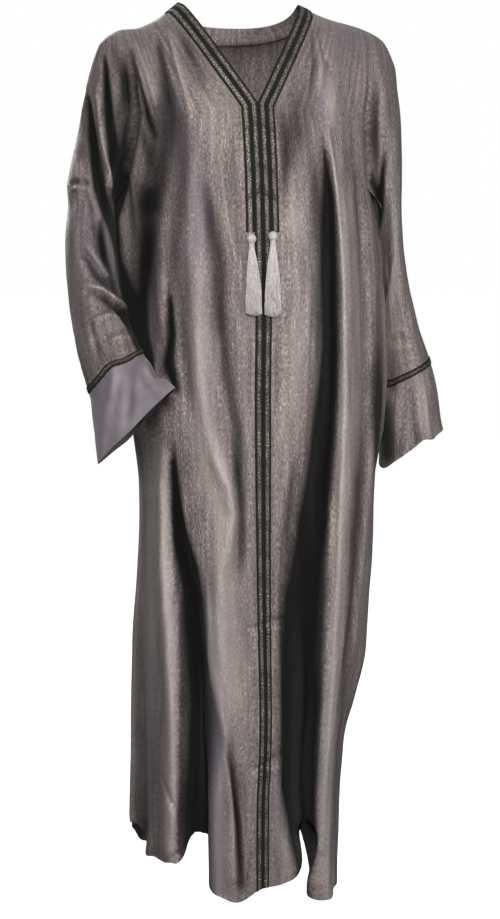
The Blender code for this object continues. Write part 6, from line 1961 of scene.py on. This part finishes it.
def new_piece(name, points, faces, material, threads=None, normals=None, **facts):
    """A mesh object that rides on the garment's body. Faces are rows of 3 or 4 point numbers."""
    mesh = bpy.data.meshes.new(name)
    corners = faces.shape[1]
    mesh.vertices.add(len(points))
    mesh.vertices.foreach_set("co", np.asarray(points, np.float32).ravel())
    mesh.loops.add(faces.size)
    mesh.loops.foreach_set("vertex_index", faces.ravel().astype(np.int32))
    mesh.polygons.add(len(faces))
    mesh.polygons.foreach_set("loop_start", np.arange(0, faces.size, corners, dtype=np.int32))
    mesh.update(calc_edges=True)
    mesh.polygons.foreach_set("use_smooth", np.ones(len(faces), bool))
    if threads is not None:
        layer = mesh.uv_layers.new(name="threads")
        layer.data.foreach_set("uv", threads[faces.ravel()].astype(np.float32).ravel())
    for fact, values in facts.items():
        layer = mesh.attributes.new(fact, "FLOAT", "POINT")
        layer.data.foreach_set("value", np.asarray(values, np.float32))
    mesh.materials.append(material)
    mesh.validate()
    if normals is not None:
        mesh.normals_split_custom_set_from_vertices(normals.tolist())
    piece = bpy.data.objects.new(name, mesh)
    bpy.context.scene.collection.objects.link(piece)
    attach(piece, "root")
    return piece


def turn_up(cloth, rows, flip):
    """The hem's turned-up edge: a second layer a little inside the last rows of cloth."""
    inner = cloth.points[rows] - cloth.normals[rows] * HEM_GAP
    first = len(cloth.points)
    cloth.points = np.concatenate([cloth.points, inner[::-1].reshape(-1, 3)])
    cloth.normals = np.concatenate([cloth.normals, -cloth.normals[rows[::-1]].reshape(-1, 3)])
    cloth.threads = np.concatenate([cloth.threads, cloth.threads[rows[::-1]].reshape(-1, 2)])
    cloth.tones = np.concatenate([cloth.tones, cloth.tones[rows[::-1]].ravel()])
    cloth.satin = np.concatenate([cloth.satin, cloth.satin[rows[::-1]].ravel()])
    index = np.arange(first, first + rows.size).reshape(rows.shape)
    cloth.join(np.concatenate([rows[-1:], index]), flip=flip)


def resample(path, step):
    """Rows of points along a path, step apart, and how far along each is."""
    along = travelled(path[:, path.shape[1] // 2, :3])
    places = np.linspace(0, along[-1], round(along[-1] / step) + 1)
    flat = path.reshape(len(path), -1)
    columns = [np.interp(places, along, flat[:, column]) for column in range(flat.shape[1])]
    return np.stack(columns, axis=1).reshape(len(places), *path.shape[1:]), places


def braid_heights(places, shares):
    """How far the braid stands off the cloth, in metres: edge cords and a plait between them."""
    across = shares[None]
    along = places[:, None]
    wave = along / PLAIT_PITCH
    lean = across * PLAIT_LEAN
    first = np.sin(2 * math.pi * (wave + lean))
    second = np.sin(2 * math.pi * (wave - lean))
    plait = PLAIT_RISE + PLAIT_DEPTH * np.maximum(first, second)
    twist = CORD_TWIST * np.sin(2 * math.pi * (along / CORD_PITCH + across * CORD_LEAN))
    edge = np.exp(-(((np.abs(across - 0.5) - CORD_PLACE) / CORD_WIDTH) ** 2))
    centre = ease((PLAIT_HALF - np.abs(across - 0.5)) / PLAIT_SOFT)
    heights = plait * centre + (CORD_RISE + twist) * edge
    border = (across == 0) | (across == 1)
    return np.where(border, BRAID_BORDER, np.maximum(heights, BRAID_GROUND))


def make_braid(name, path, normals, material, brightness, *nodes):
    """A row of braid along a path of three points across, laid on the cloth."""
    both = np.concatenate([path, normals], axis=2)
    rows, places = resample(both, BRAID_STEP)
    shares = BRAID_SHARES
    shown = []
    for share in shares:
        part = min(share * 2, 1.0), max(share * 2 - 1, 0.0)
        low = rows[:, 0] + (rows[:, 1] - rows[:, 0]) * part[0]
        shown.append(low + (rows[:, 2] - rows[:, 1]) * part[1])
    shown = np.stack(shown, axis=1)
    direction = shown[..., 3:] / np.linalg.norm(shown[..., 3:], axis=2)[..., None]
    heights = braid_heights(places, shares)
    points = shown[..., :3] + direction * (heights + BRAID_LIFT)[..., None]
    threads = np.stack(np.broadcast_arrays(shares[None] * BRAID_ROW, places[:, None]), axis=-1)
    tones = ease((LIGHT_HALF - np.abs(shares - 0.5)) / PLAIT_SOFT)[None] * brightness
    tones = np.broadcast_to(tones, heights.shape)
    quads = grid_quads(np.arange(heights.size).reshape(heights.shape))
    edge = points[1, 0] - points[0, 0]
    facing = np.cross(points[0, -1] - points[0, 0], edge)
    if facing @ direction[0, len(shares) // 2] > 0:
        quads = quads[:, ::-1]
    flat_points = points.reshape(-1, 3)
    piece = new_piece(name, flat_points, quads, material, threads.reshape(-1, 2), tone=tones.ravel())
    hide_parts(*nodes)
    return piece


def front_braid_path(cloth, row, end):
    """Points and normals under one braid row of a front, from the shoulder down to the row end."""
    columns = slice(2 * row, 2 * row + 3)
    index = np.concatenate([cloth.yoke[:0:-1, columns], cloth.skirt[:end, columns]])
    path = cloth.points[index]
    edge = cloth.points[np.concatenate([cloth.yoke[:0:-1, :1], cloth.skirt[:end, :1]])]
    share = smooth(BRAID_SHOWN["height"], BRAID_SHOWN["share"], edge[..., 2])
    return edge + (path - edge) * share[..., None], cloth.normals[index]


def make_braids(panels, sleeves, material):
    skirt_end = {0: SKIRT_ROWS + 1, 1: OUTER_BRAID_ROWS}
    for side in SIDES:
        for row, name in enumerate(("inner", "outer")):
            path, normals = front_braid_path(panels["front_" + side], row, skirt_end[row])
            node = f"braid_{name}_{side}"
            make_braid("worked_" + node, path, normals, material, BRIGHTNESS[side][row], node)
        sleeve = sleeves[side]
        index = sleeve.rings[-CUFF_BRAID_ROWS::2].T
        path, normals = sleeve.points[index], sleeve.normals[index]
        path = path[:, 1:2] + (path - path[:, 1:2]) * CUFF_BRAID_SHOWN
        node = "cuff_braid_" + side
        make_braid("worked_" + node, path, normals, material, CUFF_BRIGHTNESS, node)
    back = panels["back"]
    for row, name in enumerate(("inner", "outer")):
        index = back.neck[::-1][2 * row : 2 * row + 3].T
        node = "braid_back_" + name
        path, normals = back.points[index], back.normals[index]
        make_braid("worked_" + node, path, normals, material, BACK_BRIGHTNESS, node)


def wound_surface(rings):
    """A closed round surface from (radius, height) rows, with threads laid down its sides."""
    turns = 2 * math.pi * np.arange(HEAD_TURNS) / HEAD_TURNS
    rows = []
    for radius, height, depth, wraps in rings:
        ripple = 1 + depth * np.abs(np.sin(turns * HEAD_THREADS / 2 + wraps))
        spokes = (np.cos(turns) * radius * ripple, np.sin(turns) * radius * ripple, turns * 0 + height)
        rows.append(np.stack(spokes, axis=1))
    return np.array(rows)


def tube_quads(rows, corners, first=0):
    """Quads round a closed tube of points."""
    index = np.arange(first, first + rows * corners).reshape(rows, corners)
    index = np.concatenate([index, index[:, :1]], axis=1)
    return grid_quads(index)[:, [0, 3, 2, 1]]


def tassel_head(centre):
    """The wound ball and, under it, the waist wrapped with thread."""
    rings = []
    for step in range(HEAD_ROWS + 1):
        turn = math.pi * (HEAD_START + HEAD_SWEEP * step / HEAD_ROWS)
        rings.append((HEAD_RADIUS * math.sin(turn), HEAD_HEIGHT * math.cos(turn), HEAD_RIPPLE, 0.5 * turn))
    for step in range(WAIST_ROWS + 1):
        drop = WAIST["drop"][-1] * step / WAIST_ROWS
        wrap = WRAP_DEPTH * math.sin(2 * math.pi * drop / WRAP_PITCH)
        radius = float(smooth(WAIST["drop"], WAIST["radius"], drop)) + wrap
        rings.append((radius, -WAIST_TOP - drop, WAIST_RIPPLE, 0.0))
    return wound_surface(rings) + centre


def tassel_strands(centre, end_depth, side, numbers):
    """Fine strands that spread out of the waist and hang, each a little wavy and cut a little uneven."""
    foot = WAIST_TOP + WAIST["drop"][-1] - STRAND_SUNK
    root_centre = centre - np.array([0.0, 0.0, foot])
    shares = np.linspace(0, 1, STRAND_ROWS)
    spread = smooth(SPREAD["share"], SPREAD["spread"], shares)
    turns = 2 * math.pi * np.arange(STRAND_CORNERS) / STRAND_CORNERS
    rings = []
    for strand in range(FINE_STRANDS):
        reach = math.sqrt((strand + 0.5) / FINE_STRANDS)
        angle = strand * GOLDEN_ANGLE
        way = reach * np.array([math.cos(angle), math.sin(angle), 0.0])
        root = root_centre + STRANDS_AT_ROOT * way
        low = root_centre[2] - STRAND_LENGTH + STRAND_LIFT - side * STRAND_UNEVEN
        end = np.array([root_centre[0] - side * STRAND_LEAN, end_depth, low])
        end += way * (STRANDS_WIDE * FINE_WIDTH, STRANDS_DEEP, 0.0)
        end[2] += STRAND_SHORTER * (CUT_ROUND * reach + CUT_UNEVEN * numbers.uniform(-1, 1))
        line = root + (end - root) * np.stack([spread, spread, shares], axis=1)
        phase = numbers.uniform(0, 2 * math.pi, 2)
        waves = numbers.uniform(*WAVES, 2)
        sway = STRAND_SWAY * shares * (1 - END_STILL * shares)
        line[:, 0] += sway * np.sin(waves[0] * 2 * math.pi * shares + phase[0])
        line[:, 1] += sway * SIDE_SWAY * np.sin(waves[1] * 2 * math.pi * shares + phase[1])
        radius = STRAND_RADIUS * (1 - END_TAPER * shares**6)
        circle = np.stack([np.cos(turns), np.sin(turns), 0 * turns], axis=1)
        rings.append(line[:, None] + radius[:, None, None] * circle[None])
    return np.array(rings)


def make_tassels(panels, material):
    numbers = np.random.default_rng(7)
    for side in SIDES:
        front = panels["front_" + side]
        lift = BRAID_LIFT + BRAID_THICK + TASSEL_CLEAR
        surface = front.points[front.skirt[OUTER_BRAID_ROWS - 1, 2]]
        ends_by = front.points[front.skirt[OUTER_BRAID_ROWS + TASSEL_ROWS, 2]]
        x = SIDES[side] * TASSEL_ACROSS + TASSEL_DRIFT
        high = surface[2] + SIDES[side] * TASSEL_UNEVEN
        centre = np.array([x, surface[1] - lift - HEAD_RADIUS, high - TASSEL_CLEAR - HEAD_HEIGHT])
        end_depth = ends_by[1] - lift - STRANDS_DEEP - 2 * STRAND_RADIUS
        head = tassel_head(centre)
        quads = [tube_quads(*head.shape[:2])]
        points = [head.reshape(-1, 3)]
        first = len(points[0])
        for rings in tassel_strands(centre, end_depth, SIDES[side], numbers):
            quads.append(tube_quads(*rings.shape[:2], first=first))
            points.append(rings.reshape(-1, 3))
            first += rings.shape[0] * rings.shape[1]
        points = np.concatenate(points)
        piece = new_piece("silk_tassel_" + side, points, np.concatenate(quads), material)
        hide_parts("tassel_" + side)


def add_light(name, place, target, size, power):
    data = bpy.data.lights.new(name, "AREA")
    data.shape = "DISK"
    data.size = size
    data.energy = power
    light = bpy.data.objects.new(name, data)
    light.location = place
    way = Vector(target) - Vector(place)
    light.rotation_euler = way.to_track_quat("-Z", "Y").to_euler()
    bpy.context.scene.collection.objects.link(light)


def make_camera():
    forward, right, up = (Vector(axis) for axis in camera_axes())
    data = bpy.data.cameras.new("camera")
    data.lens = CAMERA_LENS
    data.sensor_fit = "VERTICAL"
    data.sensor_height = SENSOR
    data.sensor_width = SENSOR
    camera = bpy.data.objects.new("camera", data)
    turn = Matrix((right, up, -forward)).transposed().to_4x4()
    camera.matrix_world = Matrix.Translation(Vector(CAMERA_PLACE)) @ turn
    bpy.context.scene.collection.objects.link(camera)
    bpy.context.scene.camera = camera


def make_studio():
    """A plain pale floor, a white surround and large soft lights."""
    shader = Shader("pale_floor", 0.8, 0.0)
    shader.main.inputs["Base Color"].default_value = (*FLOOR_GREY, 1.0)
    shader.main.inputs["Emission Color"].default_value = (1.0, 1.0, 1.0, 1.0)
    shader.main.inputs["Emission Strength"].default_value = FLOOR_GLOW
    corners = [(x * FLOOR_HALF, y * FLOOR_HALF, FLOOR) for x, y in ((-1, -1), (1, -1), (1, 1), (-1, 1))]
    mesh = bpy.data.meshes.new("floor")
    mesh.from_pydata(corners, [], [(0, 1, 2, 3)])
    mesh.materials.append(shader.material)
    floor = bpy.data.objects.new("floor", mesh)
    bpy.context.scene.collection.objects.link(floor)
    floor.visible_diffuse = False
    floor.visible_glossy = False
    world = bpy.data.worlds.new("studio")
    world.use_nodes = True
    tree = world.node_tree
    shown = tree.nodes["Background"]
    shown.inputs["Color"].default_value = (1.0, 1.0, 1.0, 1.0)
    shown.inputs["Strength"].default_value = 1.0
    lighting = tree.nodes.new("ShaderNodeBackground")
    lighting.inputs["Strength"].default_value = ROOM_LIGHT
    chosen = tree.nodes.new("ShaderNodeMixShader")
    path = tree.nodes.new("ShaderNodeLightPath")
    tree.links.new(path.outputs["Is Camera Ray"], chosen.inputs["Fac"])
    tree.links.new(lighting.outputs["Background"], chosen.inputs[1])
    tree.links.new(shown.outputs["Background"], chosen.inputs[2])
    tree.links.new(chosen.outputs["Shader"], tree.nodes["World Output"].inputs["Surface"])
    bpy.context.scene.world = world
    for light in LIGHTS:
        add_light(*light)
    bpy.context.scene.view_settings.view_transform = "Standard"


def join_armhole(sleeve, sources):
    """Brings the sleeve's first rows onto the folded edge of the cloth above them, shade and all."""
    first = sleeve.rings[0, :-1]
    goal = np.concatenate([panel.points[index] for panel, index in sources]) + sleeve.clear
    goal_tones = np.concatenate([panel.tones[index] for panel, index in sources])
    shift = goal - sleeve.points[first]
    lift = goal_tones - sleeve.tones[first]
    for row, index in enumerate(sleeve.rings[:, :-1]):
        share = ease(1 - row / ARMHOLE_BLEND)
        sleeve.points[index] += shift * share
        sleeve.tones[index] += lift * share


def armhole_sources(side, front, back):
    """The rows of cloth that a sleeve's first ring follows: front, back, and round under the arm."""
    arm_count = ARM_STEPS * ARM_FINE
    back_row = back.yoke[0] if side == "left" else back.yoke[0, ::-1]
    ends = back.skirt[0] if side == "left" else back.skirt[0, ::-1]
    under = ends[: len(angle_steps(90, BACK_ANGLES[0]))]
    front_side = front.skirt[0, front.torso - 1 :]
    return (
        (front, front.yoke[0, front.torso :]),
        (back, back_row[1:arm_count]),
        (back, under[::-1]),
        (front, front_side[-2::-1]),
    )


def join_shoulders(side, front, back):
    """Brings the back's edge onto the front's down the outside of the arm and along the shoulder."""
    yoke = back.yoke if side == "left" else back.yoke[:, ::-1]
    steps = ease(1 - np.arange(SHOULDER_BLEND) / SHOULDER_BLEND)
    outer = front.yoke[:, -1]
    shift = front.points[outer] - back.points[yoke[:, 0]]
    lift = front.tones[outer] - back.tones[yoke[:, 0]]
    for column, share in enumerate(steps):
        back.points[yoke[:, column]] += shift * share
        back.tones[yoke[:, column]] += lift * share
    count = ARM_STEPS * ARM_FINE + len(angle_steps(BACK_ANGLES[0], NECK_ANGLE))
    top = yoke[-1, :count]
    edge = front.yoke[-1, np.argsort(np.abs(front.points[front.yoke[-1], 0]))]
    known = np.abs(front.points[edge, 0])
    places = np.abs(back.points[top, 0])
    goal = [np.interp(places, known, front.points[edge, axis]) for axis in range(3)]
    shift = np.stack(goal, axis=1) - back.points[top]
    lift = np.interp(places, known, front.tones[edge]) - back.tones[top]
    for row, share in enumerate(steps):
        index = yoke[-1 - row, :count]
        back.points[index] += shift * share
        back.tones[index] += lift * share


def main():
    panels = {}
    for side in SIDES:
        panels["front_" + side] = make_front(side)
    panels["back"] = back = make_back()
    sleeves, cuffs = {}, {}
    for side in SIDES:
        sleeves[side], cuffs[side] = make_sleeve(side, panels["front_" + side], back)
    bodies = list(panels.values())
    arms = list(sleeves.values()) + list(cuffs.values())
    everything = bodies + arms
    shared_normals(everything)
    for panel in everything:
        panel.tones = np.zeros(len(panel.points))
    apply_creases(bodies)
    for side in SIDES:
        join_armhole(sleeves[side], armhole_sources(side, panels["front_" + side], back))
    shared_normals(everything)
    apply_folds(everything)
    apply_crinkle(everything)
    apply_pulls(everything)
    for side in SIDES:
        join_shoulders(side, panels["front_" + side], back)
        join_armhole(sleeves[side], armhole_sources(side, panels["front_" + side], back))
    shared_normals(everything)
    for panel in everything:
        rows = panel.skirt if panel in bodies else panel.rings
        if panel in bodies or panel in cuffs.values():
            flip = "right" not in panel.name
            turn_up(panel, rows[-HEM_ROWS:], flip)

    cloth = cloth_material()
    satin = cuff_material()
    for panel in everything:
        material = satin if panel.name == "cuff_right" else cloth
        # On the cloth, the tone attribute carries the painted shade of the valleys and painted highlight of
        # the ridges into the colour.
        tones = 0.5 + 0.5 * np.tanh(panel.tones / LIGHT_AND_SHADE_RISE)
        name = "cloth_" + panel.name
        facts = {"tone": tones, "satin": np.clip(panel.satin, 0, 1)}
        piece = new_piece(name, panel.points, panel.quads, material, panel.threads, panel.normals, **facts)
        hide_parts(panel.name)
    make_braids(panels, sleeves, braid_material())
    make_tassels(panels, silk_material())
    make_studio()
    make_camera()


main()
